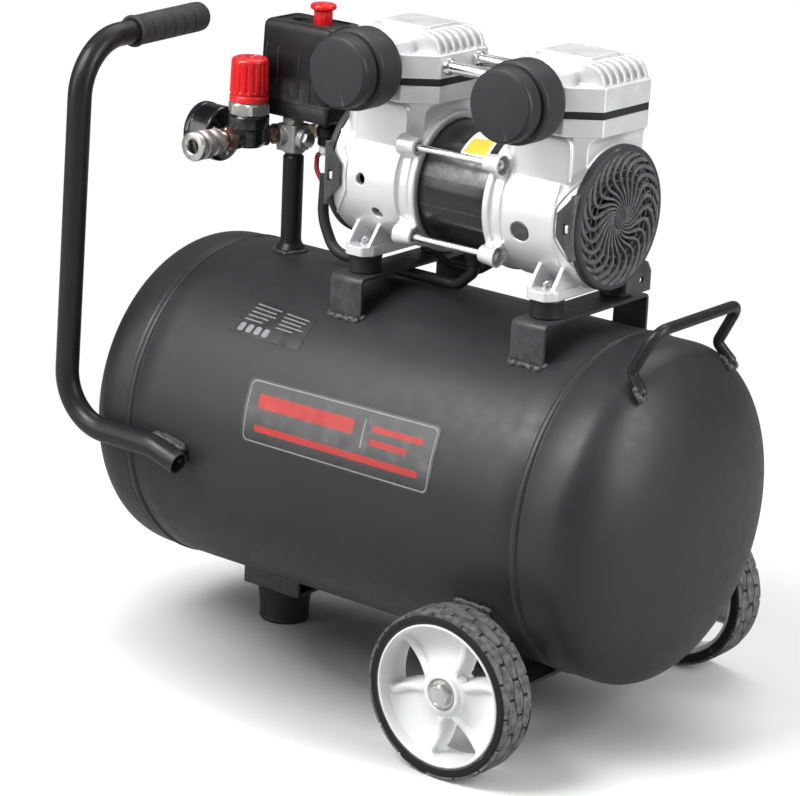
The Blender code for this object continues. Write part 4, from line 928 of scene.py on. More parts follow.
def tyre_blocks(base_r, count=15):
    """Tread lugs: a packed honeycomb of flat, slightly uneven six-sided blocks, with stepped blocks over both shoulders."""
    bm = bmesh.new()
    P = 2 * PI * WHEEL_R / count
    rows_ = ((8.4, 0.0, 0), (17.0, 0.5, 0), (25.6, 0.0, 0), (31.2, 0.5, 1), (2.8, 0.5, -1))
    for k in range(count):
        for index, (zc, shift, side) in enumerate(rows_):
            j = 0.5 * math.sin(k * 2.3 + index * 1.9)
            if side:
                e = 1.0 if side > 0 else -1.0
                outline = [(-P / 2 + 0.7, e * 1.9), (-P / 2 + 0.7, -e * 0.9), (-2.6 + j, -e * 3.6), (2.6 + j, -e * 3.6), (P / 2 - 0.7, -e * 0.9), (P / 2 - 0.7, e * 1.9)]
            else:
                outline = [(-P / 2 + 0.7, -2.6), (-P / 2 + 0.7, 2.6), (-2.9 + j, 5.1), (2.9 + j, 5.1), (P / 2 - 0.7, 2.6), (P / 2 - 0.7, -2.6), (2.9 - j, -5.1), (-2.9 - j, -5.1)]
            area = sum(p[0] * q[1] - q[0] * p[1] for p, q in zip(outline, outline[1:] + outline[:1]))
            if area < 0:
                outline = outline[::-1]
            a0 = 2 * PI * (k + shift) / count
            low, top = [], []
            fine_line = []
            for p, q in zip(outline, outline[1:] + outline[:1]):
                steps = max(1, int(abs(q[0] - p[0]) / 5.0))
                for i in range(steps):
                    fine_line.append((p[0] + (q[0] - p[0]) * i / steps, p[1] + (q[1] - p[1]) * i / steps))
            for along, dz in fine_line:
                h = zc + dz
                a = a0 + along / WHEEL_R
                low.append(bm.verts.new(((base_r - 2.4) * math.cos(a), (base_r - 2.4) * math.sin(a), min(max(h, 1.4), 32.6))))
                a = a0 + along * 0.965 / WHEEL_R
                hh = zc + dz * 0.93
                drop = 0.5 * max(0.0, (abs(hh - 17.0) - 8.0) / 7.0) ** 2 + (0.5 if side else 0.0)
                top.append(bm.verts.new(((WHEEL_R - 0.02 - drop) * math.cos(a), (WHEEL_R - 0.02 - drop) * math.sin(a), hh)))
            n = len(low)
            mid = bm.verts.new(((WHEEL_R - 0.02 - (0.75 if side else 0.0)) * math.cos(a0), (WHEEL_R - 0.02 - (0.75 if side else 0.0)) * math.sin(a0), zc))
            foot_v = bm.verts.new(((base_r - 2.6) * math.cos(a0), (base_r - 2.6) * math.sin(a0), zc))
            for i in range(n):
                bm.faces.new((low[i], low[(i + 1) % n], top[(i + 1) % n], top[i]))
                bm.faces.new((top[i], top[(i + 1) % n], mid))
                bm.faces.new((low[(i + 1) % n], low[i], foot_v))
    bmesh.ops.recalc_face_normals(bm, faces=bm.faces)
    return bm


for place, s in (("front", -1), ("rear", 1)):
    turn = ALONG_FRONT if s < 0 else ALONG_BACK
    base = (WHEEL_X, s * (WHEEL_OUT - WHEEL_W), WHEEL_R)
    barrel = make("barrel", turned(soft([
        (55.8, 2.2), (55.8, 31.0), (55.9, 33.0), (54.6, 33.6), (53.4, 32.4), (53.2, 29.0, 2), (52.6, 16.0, 1), (52.6, 6.0, 1), (53.4, 2.0)], 0.5, 3), 120, ring=True),
        "white", base, turn, angle=40)
    petals = [make("petal", petal(math.radians(a)), "white", base, turn, angle=48) for a in (105, 225, -15)]
    hub = make("hub", turned(soft([
        (AXLE_R + 0.35, 0.6), (13.6, 0.6), (14.6, 1.6), (14.6, 10.0, 1), (19.5, 13.6, 2), (21.6, 18.0, 2), (20.0, 22.6, 2.4), (17.8, 24.2, 1.0), (16.4, 24.6, 0.6),
        (15.6, 26.6, 0.8), (14.6, 27.2, 0.5), (12.6, 27.2, 0.5), (12.3, 24.2), (AXLE_R + 0.35, 24.2)], 0.5, 3), 90, ring=True), "white", base, turn, angle=40)
    rim = join(f"rim_{place}", [barrel, hub] + petals)
    shade(rim, 44)
    put(rim, f"wheel_rim_{place}")

    body_r = 64.2
    carcass = make("carcass", turned(soft([
        (56.0, 1.4), (57.4, 0.8, 0.6), (59.8, 0.6, 1), (62.4, 0.9, 1), (64.2, 2.4, 1.4), (body_r, 5.0, 1.5), (body_r, 29.0, 1.5), (64.4, 31.4, 1.4),
        (62.6, 32.9, 1), (60.2, 33.5, 1), (58.6, 33.2, 0.6), (57.4, 33.5, 0.6), (56.0, 32.6)], 0.4, 3), 150, ring=True), "tyre", base, turn, angle=40)
    lugs = make("lugs", tyre_blocks(body_r), "tyre", base, turn, angle=30)
    tyre = join(f"tyre_tread_{place}", [carcass, lugs])
    put(tyre, f"tyre_{place}")

    bolt = make("bolt", turned(soft([
        (0, -31.0), (AXLE_R, -31.0), (AXLE_R, -29.0), (9.5, -29.0), (9.5, -22.9), (AXLE_R, -22.9), (AXLE_R, -19.1), (9.5, -19.1),
        (9.5, 0.0), (AXLE_R, 0.0), (AXLE_R, 24.8), (10.9, 24.8), (10.9, 26.2), (0, 26.2)], 0.25, 2), 60), "zinc_y", base, turn, angle=35)
    head = make("head", hex_nut(9.4, 26.2, 32.0, 0.35, 0.6), "zinc_y", base, turn, angle=28)
    dimple = make("dimple", turned(soft([(0, 31.0), (5.6, 31.0), (6.4, 32.2), (7.2, 32.25), (7.3, 31.0)], 0.2, 2)[::1], 48), "zinc_y", base, turn)
    put(join(f"wheel_bolt_{place}_set", [bolt, head, dimple]), f"wheel_bolt_{place}")

# ================================================================ rubber foot
fb = make("foot_channel", block(FOOT_X - 27, FOOT_X + 32, -22, 22, 30.4, 33.4), "powder")
for s in (-1, 1):
    y0, y1 = sorted((s * 19.0, s * 22.0))
    add(fb, block(FOOT_X - 27, FOOT_X + 32, y0, y1, 30.4, TANK_Z - math.sqrt(TANK_R ** 2 - 19.0 ** 2) + 0.6))
bevel(fb, 0.6, 2)
put(fb, "foot_bracket")
for s, tag in ((-1, "front"), (1, "rear")):
    zz = TANK_Z - math.sqrt(TANK_R ** 2 - 22.8 ** 2)
    line = [(FOOT_X - 27 + 59 * k / 20, s * (22.9 + 0.4 * math.sin(k * 1.7)), zz - 0.9 + 0.3 * math.sin(k * 2.3)) for k in range(21)]
    put(weld(f"foot_weld_{tag}", line, 2.1, 51 + s), body=MAIN, slot="charcoal_powder_coat")
foot = make("foot_pad", turned(soft([
    (0, 4.0), (7.8, 4.0), (9.2, 0.0, 0.8), (20.2, 0.0, 1.2), (21.2, 3.0, 0.6), (20.6, 4.4, 0.6), (21.0, 14.0), (22.3, 24.0, 1), (22.9, 29.0, 1), (22.0, 30.2, 0.6), (0, 30.2)],
    0.5, 3), 90), "rubber", (FOOT_X, 0, 0), angle=40)
put(foot, "rubber_foot")

# ================================================================ manifold, safety valve
mz = make("manifold_block", prism(rounded(MAN_X - 10, MAN_X + 10, -10, 10, 2.5, 4), 402.6, 424.0), "block", angle=40)
add(mz, turned(soft([(0, 400.9), (8.6, 400.9), (9.0, 402.0), (9.0, 407.0), (0, 407.0)], 0.4, 2), 48), (RISER_X, 0, 0))
add(mz, plain_rod(8.4, 10.0, 14.6, 48), (MAN_X, 0, 413.0), ALONG_X)
to_regulator = Vector((REG_X - MAN_X, REG_Y, 0.0))
PIPE_TURN = tuple(to_regulator.to_track_quat("Z", "Y").to_euler())
add(mz, plain_rod(8.6, 6.0, 12.6, 48), (MAN_X, 0, 414.5), PIPE_TURN)
cut(mz, plain_rod(4.6, 398.0, 416.0, 32), (RISER_X, 0, 0))
casting(mz, 0.45, 3, 0.4)
extra = [mz]
extra.append(make("nut", hex_nut(9.6, 424.3, 429.9, 0.2, 0.9), "nut_dull", (MAN_X, 0, 0), angle=28))
extra.append(make("neck", plain_rod(6.0, 422.0, 430.0, 40), "nut_dull", (MAN_X, 0, 0)))
extra.append(make("pipe", turned(soft([(0, 7), (6.4, 7), (6.4, 20.3), (0, 20.3)], 0.3, 2), 48), "copper", (MAN_X, 0, OUTLET_Z), PIPE_TURN))
extra.append(make("nut", hex_nut(8.6, 13.2, 18.6, 0.5, 0.9), "copper", (MAN_X, 0, OUTLET_Z), PIPE_TURN, angle=28))
extra.append(make("plug", hex_nut(7.0, 14.8, 18.4, 0.6, 0.8), "nut_dull", (MAN_X, 0, 413.0), ALONG_X, angle=28))
put(join("manifold_set", extra), "manifold")

valve = [make("valve", turned(soft([
    (1.9, 12.2), (5.0, 12.2), (5.0, 20.4), (6.0, 20.4), (6.0, 30.0), (5.4, 31.0), (5.4, 33.2), (4.6, 35.0), (1.9, 35.0)], 0.3, 2), 48, ring=True), "brass",
    (MAN_X, 0, 414.0), ALONG_BACK),
    make("nut", hex_nut(7.6, 13.2, 20.2, 0.1, 0.8, bore=3.0), "brass", (MAN_X, 0, 414.0), ALONG_BACK, angle=28)]
put(join("safety_valve", valve), "safety_valve_body")
stem = make("stem", turned(soft([(0, 28.0), (1.3, 28.0), (1.3, 38.5), (0, 38.5)], 0.2, 2), 24), "steel", (MAN_X, 0, 414.0), ALONG_BACK)
hoop_path = [Vector((9.0 * math.cos(2 * PI * k / 48), 9.0 * math.sin(2 * PI * k / 48), 0)) for k in range(48)]
hoop = bmesh.new()
rows = []
for k in range(48):
    a = 2 * PI * k / 48
    rows.append([hoop.verts.new(((9.0 + 1.15 * math.cos(b)) * math.cos(a), (9.0 + 1.15 * math.cos(b)) * math.sin(a), 1.15 * math.sin(b)))
                 for b in [2 * PI * j / 14 for j in range(14)]])
for k in range(48):
    for j in range(14):
        hoop.faces.new((rows[k][j], rows[(k + 1) % 48][j], rows[(k + 1) % 48][(j + 1) % 14], rows[k][(j + 1) % 14]))
hoop_obj = make("hoop", hoop, "steel", (MAN_X, 47.0, 414.0), (0, PI / 2, 0))
put(join("safety_ring_set", [stem, hoop_obj]), "safety_valve_ring")

# ================================================================ pressure switch
CX, HX, HY = -126.75, 36.25, 24.0
sb = make("switch_tray", loft([
    (z, rounded(-162.5 + d, -91.0 - d, -23.5 + d, 23.5 - d, 4.2, 6)) for z, d in ((435.5, 1.6), (436.4, 0.4), (438.0, 0.0), (447.0, -0.2), (448.0, 0.2))]),
    "switch", (SW_X, SW_Y, SW_DZ), angle=40)
add(sb, turned(soft([(0, 414.2), (8.2, 414.2), (8.4, 415.2), (8.4, 421.0), (9.4, 422.0), (9.4, 428.5), (8.2, 429.5), (8.2, 437.0), (0, 437.0)], 0.4, 2), 56), (-107.5 + SW_X, SW_Y, SW_DZ))
gland = make("gland_ring", turned(soft([(2.6, 406.4), (5.6, 406.4), (6.8, 408.2), (6.8, 413.9), (2.6, 413.9)], 0.5, 2), 48, ring=True), "gland", (-107.5 + SW_X, SW_Y, SW_DZ))
put(join("switch_tray_set", [sb, gland]), "pressure_switch_base")


def cover_rows(levels, r=5.0, grow=0.0):
    rows_ = []
    for z, hx, hy, dx in levels:
        rows_.append((z, [(CX + dx + x, y) for x, y in rounded(-hx - grow, hx + grow, -hy - grow, hy + grow, r + grow, 8)]))
    return rows_


def lerp_level(z):
    t = (z - 448.4) / (507.5 - 448.4)
    return (z, HX + (35.6 - HX) * t, HY + (21.6 - HY) * t, 0.2 * t)


levels = [(448.3, HX - 0.5, HY - 0.5, 0.0), (448.8, HX, HY, 0.0), lerp_level(470.0), lerp_level(490.0), lerp_level(506.0),
          (508.8, 35.2, 21.2, 0.2), (510.8, 34.1, 20.1, 0.2), (511.9, 32.6, 18.6, 0.2), (512.3, 31.4, 17.4, 0.2)]
SW = (SW_X, SW_Y, SW_DZ)
SWK = (0, SW_Y, SW_DZ)
cover = make("switch_hood", loft(cover_rows(levels)), "switch", SW, angle=35)
cut(cover, loft([(z, [(CX + dx + x, y) for x, y in rounded(-hx, hx, -hy, hy, 3, 4)])
                 for z, hx, hy, dx in ((446.0, HX - 2.2, HY - 2.2, 0.0), (506.0, 33.3, 19.2, 0.2))]), SW)
# a shallow tray in the top, an oval well beside the knob and the knob's own hole
cut(cover, prism(rounded(CX - 28.5, CX + 28.5, -14.8, 14.8, 3.0, 5), 511.5, 514.0), SW)
cut(cover, prism([(KNOB_X - 11 + 19.0 * math.cos(2 * PI * k / 56), 8.8 * math.sin(2 * PI * k / 56)) for k in range(56)], 509.6, 514.0), SWK)
cut(cover, plain_rod(7.9, 500.0, 520.0, 48), (KNOB_X, SW_Y, SW_DZ))
for k in range(4):
    x = KNOB_X - 27.0 + 3.6 * k
    cut(cover, prism(rounded(x, x + 1.6, -4.6, 4.6, 0.7, 3), 500.0, 511.0), SWK)
for k in range(5):
    x = KNOB_X + 12.0 + 2.9 * k
    cut(cover, prism(rounded(x, x + 1.3, -8.0, 8.0, 0.6, 3), 510.4, 513.0), SWK)
bevel(cover, 0.45, 2, 40)
ribs = [cover]
for x, z1 in ((-155.5, 494.0), (-143.5, 492.0), (-121.5, 489.0), (-109.5, 487.0), (-98.5, 485.0)):
    path = []
    for k in range(15):
        z = 450.5 + (z1 - 450.5) * k / 14
        _, hx, hy, dx = lerp_level(z)
        path.append(Vector((x + dx * 0.6 + SW_X, -hy + 0.15 + SW_Y, z + SW_DZ)))
    last = len(path) - 1
    ribs.append(make("rib", swept(path, lambda i, a, last=last: 0.85 * (0.25 if i == last else 1.0), 12), "switch", angle=60))
for x in (-150.0, -100.0):
    path = [Vector((x + SW_X, HY - 0.2 - 2.4 * (z - 448.4) / 59 + SW_Y, z + SW_DZ)) for z in (451, 460, 470, 480, 490)]
    ribs.append(make("rib", swept(path, 0.85, 12), "switch", angle=60))
lip = make("lip", loft(cover_rows([(448.1, HX - 0.4, HY - 0.4, 0), (448.4, HX + 0.25, HY + 0.25, 0), (450.2, HX + 0.25, HY + 0.25, 0), (450.9, HX - 0.4, HY - 0.4, 0)])), "switch", SW, angle=35)
cut(lip, prism(rounded(CX - HX + 2, CX + HX - 2, -HY + 2, HY - 2, 3, 4), 446, 455), SW)
ribs.append(lip)
put(join("switch_hood_set", ribs), "pressure_switch_cover")

sk = [make("button", turned(soft([(0, 500.5), (7.3, 500.5), (7.4, 521.4), (7.8, 522.4, 0.4), (10.0, 523.4), (10.5, 524.6), (10.4, 526.2), (9.4, 527.4), (7.4, 527.8, 0.5), (6.9, 527.1, 0.3), (0, 527.0)], 0.5, 3), 90),
           "red", (KNOB_X, SW_Y, SW_DZ), angle=36)]
sk.append(make("rim", prism(rounded(KNOB_X - 4.6, KNOB_X + 4.6, -0.7, 0.7, 0.6, 3), 526.9, 527.5), "red", SWK))
for k in range(6):
    a = 2 * PI * k / 6 + 0.3
    rib = block(6.9, 7.9, -0.6, 0.6, 513.5, 521.6)
    bmesh.ops.rotate(rib, verts=rib.verts, cent=(0, 0, 0), matrix=Matrix.Rotation(a, 3, "Z"))
    # only inside the CAD hole's clearance, above the hood
    rib_obj = make("rib", rib, "red", (KNOB_X, SW_Y, SW_DZ))
    sk.append(bevel(rib_obj, 0.2, 2))
put(join("switch_knob_set", sk), "switch_knob")

# ================================================================ regulator
rb = make("regulator_housing", turned(soft([
    (0, 394.0), (11.6, 394.0), (12.4, 395.0), (14.4, 397.0), (15.6, 398.6), (15.6, 408.6), (16.0, 409.4), (16.8, 409.8), (16.8, 419.0), (15.8, 420.2), (0, 420.2)], 0.5, 3), 96),
    "gloss_black", (REG_X, REG_Y, REG_DZ), angle=40)
for a in (45, 135, 225, 315):
    add(rb, prism(rounded(9.0, 16.2, -3.4, 3.4, 1.4, 4), 396.5, 408.8), (REG_X, REG_Y, REG_DZ), (0, 0, math.radians(a)))
add(rb, turned(soft([(0, 10), (9.6, 10), (9.6, 17.6), (8.6, 18.6), (8.5, 20.2), (0, 20.2)], 0.4, 2), 56), (REG_X, REG_Y, OUTLET_Z), ALONG_FRONT)
add(rb, turned(soft([(0, 10), (8.6, 10), (8.6, 17.0), (7.5, 18.0), (7.5, 20.0), (0, 20.0)], 0.4, 2), 56), (REG_X, REG_Y, GAUGE_Z), ALONG_LEFT)
add(rb, turned(soft([(0, 10), (9.4, 10), (9.4, 15.6), (8.6, 16.6), (0, 16.6)], 0.4, 2), 56), (REG_X, REG_Y, OUTLET_Z), tuple((-to_regulator).to_track_quat("Z", "Y").to_euler()))
bevel(rb, 0.35, 2, 42)
regs = [rb]
regs.append(make("nut", hex_nut(17.6, 420.3, 430.0, 0.35, 1.3), "nut_dull", (REG_X, REG_Y, REG_DZ), angle=28))
regs.append(make("collar", turned(soft([(0, 429.6), (14.4, 429.6), (14.4, 430.6), (0, 430.6)], 0.2, 2), 72), "nut_dull", (REG_X, REG_Y, REG_DZ)))
screw = make("screw", turned(soft([(0, 0), (2.5, 0), (2.5, 1.3), (1.6, 2.1), (0, 2.2)], 0.3, 3), 40), "chrome", (REG_X - 0.5, REG_Y - 16.2, 408.3 + REG_DZ), ALONG_FRONT)
cut(screw, block(-3, 3, -0.35, 0.35, 1.3, 3), (REG_X - 0.5, REG_Y - 16.2, 408.3 + REG_DZ), (PI / 2, 0.5, 0))
regs.append(screw)
put(join("regulator_set", regs), "regulator_body")


def knob_wave(a, r, h):
    if 438.6 < h < 463.0 and r > 12:
        flute = 0.5 + 0.5 * math.cos(16 * a)
        fade = min(1.0, (h - 438.6) / 1.5, (463.0 - h) / 1.8)
        return r - 0.95 * fade * max(0.0, 1.0 - flute * 2.2) ** 0.7
    if 431.6 < h < 435.2 and r > 12:
        return r - 0.35 * max(0.0, math.cos(16 * a)) ** 4
    return r


kp = [(0, 430.9), (15.3, 430.9), (15.9, 431.5), (15.9, 435.4), (15.4, 436.2), (14.7, 436.5), (14.7, 437.5), (15.4, 437.8), (15.7, 438.5)]
kp += [(15.7 - 0.75 * (z - 438.6) / 24.4, z) for z in [438.7 + 0.9 * k for k in range(28)]]
kp += [(14.7, 464.0), (14.0, 465.3), (12.6, 466.0), (9.5, 466.2), (9.1, 465.7), (3.2, 465.7), (2.8, 465.0), (0, 465.0)]
rk = make("regulator_cap", turned(kp, 240, wave=knob_wave), "red", (REG_X, REG_Y, REG_DZ), angle=40)
put(rk, "regulator_knob")

# ================================================================ gauge
ga = [make("case", turned(soft([
    (0, 20.4), (6.0, 20.4), (6.0, 24.2), (19.5, 24.2), (21.8, 25.0), (22.4, 26.4), (22.5, 42.6), (22.6, 43.6, 0.2), (23.2, 44.2), (23.3, 48.6), (22.6, 49.5), (21.0, 49.5),
    (20.4, 48.8), (20.3, 45.0), (0, 44.6)], 0.5, 3), 110), "gloss_black", (REG_X, REG_Y, GAUGE_Z), ALONG_LEFT, angle=36)]
ga.append(make("nut", hex_nut(8.2, 20.2, 24.0, 0.2, 0.6), "brass", (REG_X, REG_Y, GAUGE_Z), ALONG_LEFT, angle=28))
ga.append(make("dial", turned([(0, 44.55), (20.25, 44.55), (20.25, 44.85), (0, 44.85)], 90), "dial", (REG_X, REG_Y, GAUGE_Z), ALONG_LEFT))
for k in range(3):
    a = 2 * PI * k / 3 + 0.6
    ga.append(make("rivet", turned(soft([(0, 23.0), (1.9, 23.0), (1.9, 24.0), (0, 24.6)], 0.2, 2), 24), "zinc_y",
                   (REG_X, REG_Y, GAUGE_Z), ALONG_LEFT))
    ga[-1].data.transform(Matrix.Translation((0, 0, 0)))
    off = Vector((0, 15.5 * math.cos(a), 15.5 * math.sin(a))) * MM
    ga[-1].data.transform(Matrix.Translation(off))
# dial marks: local X of ALONG_LEFT points up
for k in range(41):
    a = math.radians(138 + 270 * k / 40)
    long = k % 5 == 0
    tick = block(16.0 if long else 17.6, 19.2, -(0.28 if long else 0.16), 0.28 if long else 0.16, 44.84, 44.98)
    bmesh.ops.rotate(tick, verts=tick.verts, cent=(0, 0, 0), matrix=Matrix.Rotation(a, 3, "Z"))
    ga.append(make("tick", tick, "ink", (REG_X, REG_Y, GAUGE_Z), ALONG_LEFT))


def lettering(text, size, x, y, h, loc, rot, look):
    data = bpy.data.curves.new("digits", "FONT")
    data.body = text
    data.size = size
    data.extrude = 0.06
    data.align_x, data.align_y = "CENTER", "CENTER"
    obj = bpy.data.objects.new("digits", data)
    bpy.context.scene.collection.objects.link(obj)
    bpy.context.view_layer.update()
    graph = bpy.context.evaluated_depsgraph_get()
    mesh = bpy.data.meshes.new_from_object(obj.evaluated_get(graph))
    bm = bmesh.new()
    bm.from_mesh(mesh)
    bpy.data.objects.remove(obj, do_unlink=True)
    bpy.data.meshes.remove(mesh)
    bmesh.ops.rotate(bm, verts=bm.verts, cent=(0, 0, 0), matrix=Matrix.Rotation(-PI / 2, 3, "Z"))
    bmesh.ops.translate(bm, verts=bm.verts, vec=(x, y, h))
    return make("digits", bm, look, loc, rot)


for k in range(0, 9, 2):
    a = math.radians(138 + 270 * k / 8)
    ga.append(lettering(str(k), 3.6, 13.2 * math.cos(a), 13.2 * math.sin(a), 44.9, (REG_X, REG_Y, GAUGE_Z), ALONG_LEFT, "ink"))
put(join("pressure_gauge", ga), "gauge_case")
lens = make("gauge_lens", turned(soft([(0, 48.9), (20.35, 48.5), (20.35, 47.9), (0, 48.1)], 0.1, 1), 90), glass, (REG_X, REG_Y, GAUGE_Z), ALONG_LEFT)
put(lens, body=MAIN, slot=SLOT_OF["gauge_case"])
nd = make("hub", turned(soft([(0, 45.1), (2.3, 45.1), (2.3, 46.8), (1.6, 47.2), (0, 47.2)], 0.2, 2), 40), "ink", (REG_X, REG_Y, GAUGE_Z), ALONG_LEFT)
pointer = [(math.cos(math.radians(a)) * r, math.sin(math.radians(a)) * r) for a, r in ((137, 16.5), (139, 16.5), (228, 0.9), (310, 5.5), (326, 5.5), (408, 0.9))]
nd2 = make("pointer", prism(pointer, 45.6, 46.2), "red", (REG_X, REG_Y, GAUGE_Z), ALONG_LEFT)
put(join("gauge_pointer", [nd, nd2]), "gauge_needle")

# ================================================================ outlet and coupler
oa = [make("hex", hex_nut(10.4, 20.6, 30.6, 0.35, 1.1, bore=3.0), "copper", (REG_X, REG_Y, OUTLET_Z), ALONG_FRONT, angle=28),
      make("tail", turned(soft([(3.0, 20.3), (7.6, 20.3), (7.6, 21.4), (6.6, 21.6), (6.6, 36.3), (3.0, 36.3)], 0.2, 2), 56, ring=True), "copper",
           (REG_X, REG_Y, OUTLET_Z), ALONG_FRONT)]
for k in range(4):
    oa.append(make("thread", turned(soft([(6.5, 30.6 + 1.35 * k), (7.3, 31.1 + 1.35 * k), (7.3, 31.4 + 1.35 * k), (6.5, 31.9 + 1.35 * k)], 0.1, 1), 48, ring=True), "copper",
                   (REG_X, REG_Y, OUTLET_Z), ALONG_FRONT))
put(join("outlet_adaptor_set", oa), "outlet_adaptor")


def knurl(a, r, h):
    if 38.6 < h < 44.4 and r > 10:
        return r - 0.38 * abs(math.sin(22 * a + h * 0.9)) * abs(math.sin(22 * a - h * 0.9)) * 1.6
    return r


cb = [(3.0, 36.8), (9.2, 36.8), (10.2, 37.8), (10.6, 38.4)] + [(10.7, 38.7 + 0.36 * k) for k in range(16)] + [
    (10.4, 44.8), (9.4, 45.2), (8.4, 45.6), (8.4, 58.6), (7.8, 59.4), (5.6, 59.4), (5.0, 58.6), (4.6, 57.6), (4.6, 52.0), (3.0, 50.0)]
body = make("coupler_core", turned(cb, 176, ring=True, wave=knurl), "coupler", (REG_X, REG_Y, OUTLET_Z), ALONG_FRONT, angle=35)
poppet = make("poppet", turned(soft([(0, 50.5), (3.4, 50.5), (3.6, 53.0), (2.2, 55.0), (0, 55.4)], 0.3, 2), 40), "brass", (REG_X, REG_Y, OUTLET_Z), ALONG_FRONT)
put(join("coupler_core_set", [body, poppet]), "coupler_body")


def sleeve_wave(a, r, h):
    if (50.9 < h < 56.6) and r > 11:
        return r - 0.42 * (0.5 + 0.5 * math.cos(40 * a)) ** 2
    return r


cs = [(8.9, 49.6), (10.6, 49.6), (11.5, 50.2), (11.85, 51.0)] + [(11.85, 51.3 + 0.5 * k) for k in range(11)] + [
    (11.5, 57.4), (10.6, 57.9), (10.5, 59.6), (11.4, 60.2), (11.8, 60.9), (11.85, 65.6), (11.4, 66.6), (10.6, 66.95), (6.6, 66.95), (5.9, 66.4), (5.8, 64.8), (6.6, 64.2), (8.9, 64.2)]
sleeve = make("coupler_slider", turned(cs, 240, ring=True, wave=sleeve_wave), "coupler", (REG_X, REG_Y, OUTLET_Z), ALONG_FRONT, angle=35)
put(sleeve, "coupler_sleeve")

# ================================================================ motor lead
cable_path = bent([(-115.0, 8.8, 386.5), (-112.0, 3.0, 352.0), (-96.0, 0, 326.0), (-60.0, 0, 325.0), (30.0, 0, 325.0), (45.0, 0, 338.0), (45.0, 0, 352.5)],
                  [45, 22, 60, 14, 8], 16)
cable = make("lead_sleeve", swept(resample(cable_path, 3.0), 4.5, 32, bore=(3.4, 6)), "sleeve", angle=50)
wire_path = bent([(-116.6, 12, 407.5), (-125.6, 10, 399.0), (-124.4, 8, 388.0), (-115.5, 8.4, 376.0), (-113.2, 5.4, 364.0)], [3.5, 14, 16], 10)
wire = make("lead_wire", swept(resample(wire_path, 2.0), 2.0, 24), "wire", angle=60)
wire2 = make("lead_wire2", swept(resample([Vector((-115.4, 13.2, 407.5)), Vector((-117.6, 12.4, 394.0)), Vector((-114.6, 9.6, 382.0))], 2.0), 1.3, 16), "sleeve", angle=60)
put(join("motor_lead", [cable, wire, wire2]), "motor_cable")
grommet = make("lead_grommet", turned(soft([(0, 343.5), (6.2, 343.5), (6.8, 345.0), (6.8, 349.0), (8.6, 350.0), (8.6, 354.5), (9.4, 355.5), (9.4, 359.5), (0, 359.5)], 0.5, 3), 56),
               "rubber", (45.0, 0, 0), angle=40)
put(grommet, body=MAIN, slot="black_rubber")
loops = []
loops.append(make("loop", swept(resample(bent([(52.0, 14, 360), (52.0, 15, 344), (36, 18, 334.0), (8.0, 14, 335.0), (2.0, 8, 344.0), (2.0, 6, 353.0)], [9, 12, 9, 7], 12), 2.5), 3.2, 24), "sleeve", angle=60))
put(join("motor_lead_loops", loops), body=MAIN, slot="black_rubber")


# ================================================================ pump
def octagon(cx, hx, sy, fy, fx):
    return [(cx + hx, -sy), (cx + hx, sy), (cx + fx, fy), (cx - fx, fy), (cx - hx, sy), (cx - hx, -sy), (cx - fx, -fy), (cx + fx, -fy)]


# ---------------------------------------------------------------- stator between the crankcases
st = [make("stack", turned(soft([(28.4, -27.0), (40.0, -31.6), (48.4, -31.6), (48.4, 31.6), (40.0, 31.6), (28.4, 27.0)], 0.4, 2), 140, ring=True),
           "lamination", (PUMP_X, 0, PUMP_Z), ALONG_X)]
for a0, a1 in ((-262.0, -128.0), (-106.0, 88.0)):
    shell = [(48.2, -31.9), (49.4, -31.9), (49.4, 31.9), (48.2, 31.9)]
    shell = soft([(48.2, -31.8), (49.5, -31.8, 0.5), (49.5, 31.8, 0.5), (48.2, 31.8)], 0, 3)
    st.append(make("shell", sector(shell, a0, a1, 90), "motor", (PUMP_X, 0, PUMP_Z), ALONG_X, angle=40))
for a in (-80.0, 40.0):
    bead = soft([(49.3, -31.5), (49.9, -31.5, 0.3), (49.9, 31.5, 0.3), (49.3, 31.5)], 0, 2)
    st.append(make("bead", sector(bead, a - 0.6, a + 0.6, 2), "motor", (PUMP_X, 0, PUMP_Z), ALONG_X, angle=40))
put(join("stator_set", st), "motor_stator")
STICK = ((54.5, 72.0), (77.0, 74.0), (79.0, 43.0), (53.0, 41.5))
put(join("stator_blank_sticker", [
    patch("s1", STICK, "sticker", lift=0.28, under=0.1, radius=3.2, cols=10, rows=10, R=49.6, cz=PUMP_Z),
    patch("s2", ((57.0, 61.0), (74.8, 64.0), (76.4, 45.0), (55.3, 44.0)), "sticker_y", lift=0.36, under=-0.2, radius=1.5, cols=8, rows=8, R=49.6, cz=PUMP_Z)]),
    body=MAIN, slot="black_motor_paint")

for k, (ry, rz) in enumerate(((-ROD_Y, ROD_Z), (-ROD_Y, -ROD_Z), (ROD_Y, ROD_Z), (ROD_Y, -ROD_Z))):
    where = ("front_upper", "front_lower", "rear_upper", "rear_lower")[k]
    bits = [make("bar", turned(soft([(0, -48.5), (2.2, -48.0), (2.7, -47.2), (2.7, 47.2), (2.2, 48.0), (0, 48.0)], 0.2, 2), 40), "zinc", (PUMP_X, ry, PUMP_Z + rz), ALONG_X)]
    for e in (-1, 1):
        h0, h1 = sorted((e * 41.6, e * 46.0))
        bits.append(make("nut", hex_nut(5.0, h0, h1, 0.4 + k, 0.5), "zinc_y", (PUMP_X, ry, PUMP_Z + rz), ALONG_X, angle=28))
    put(join(f"tie_rod_{where}_set", bits), f"tie_rod_{where}")

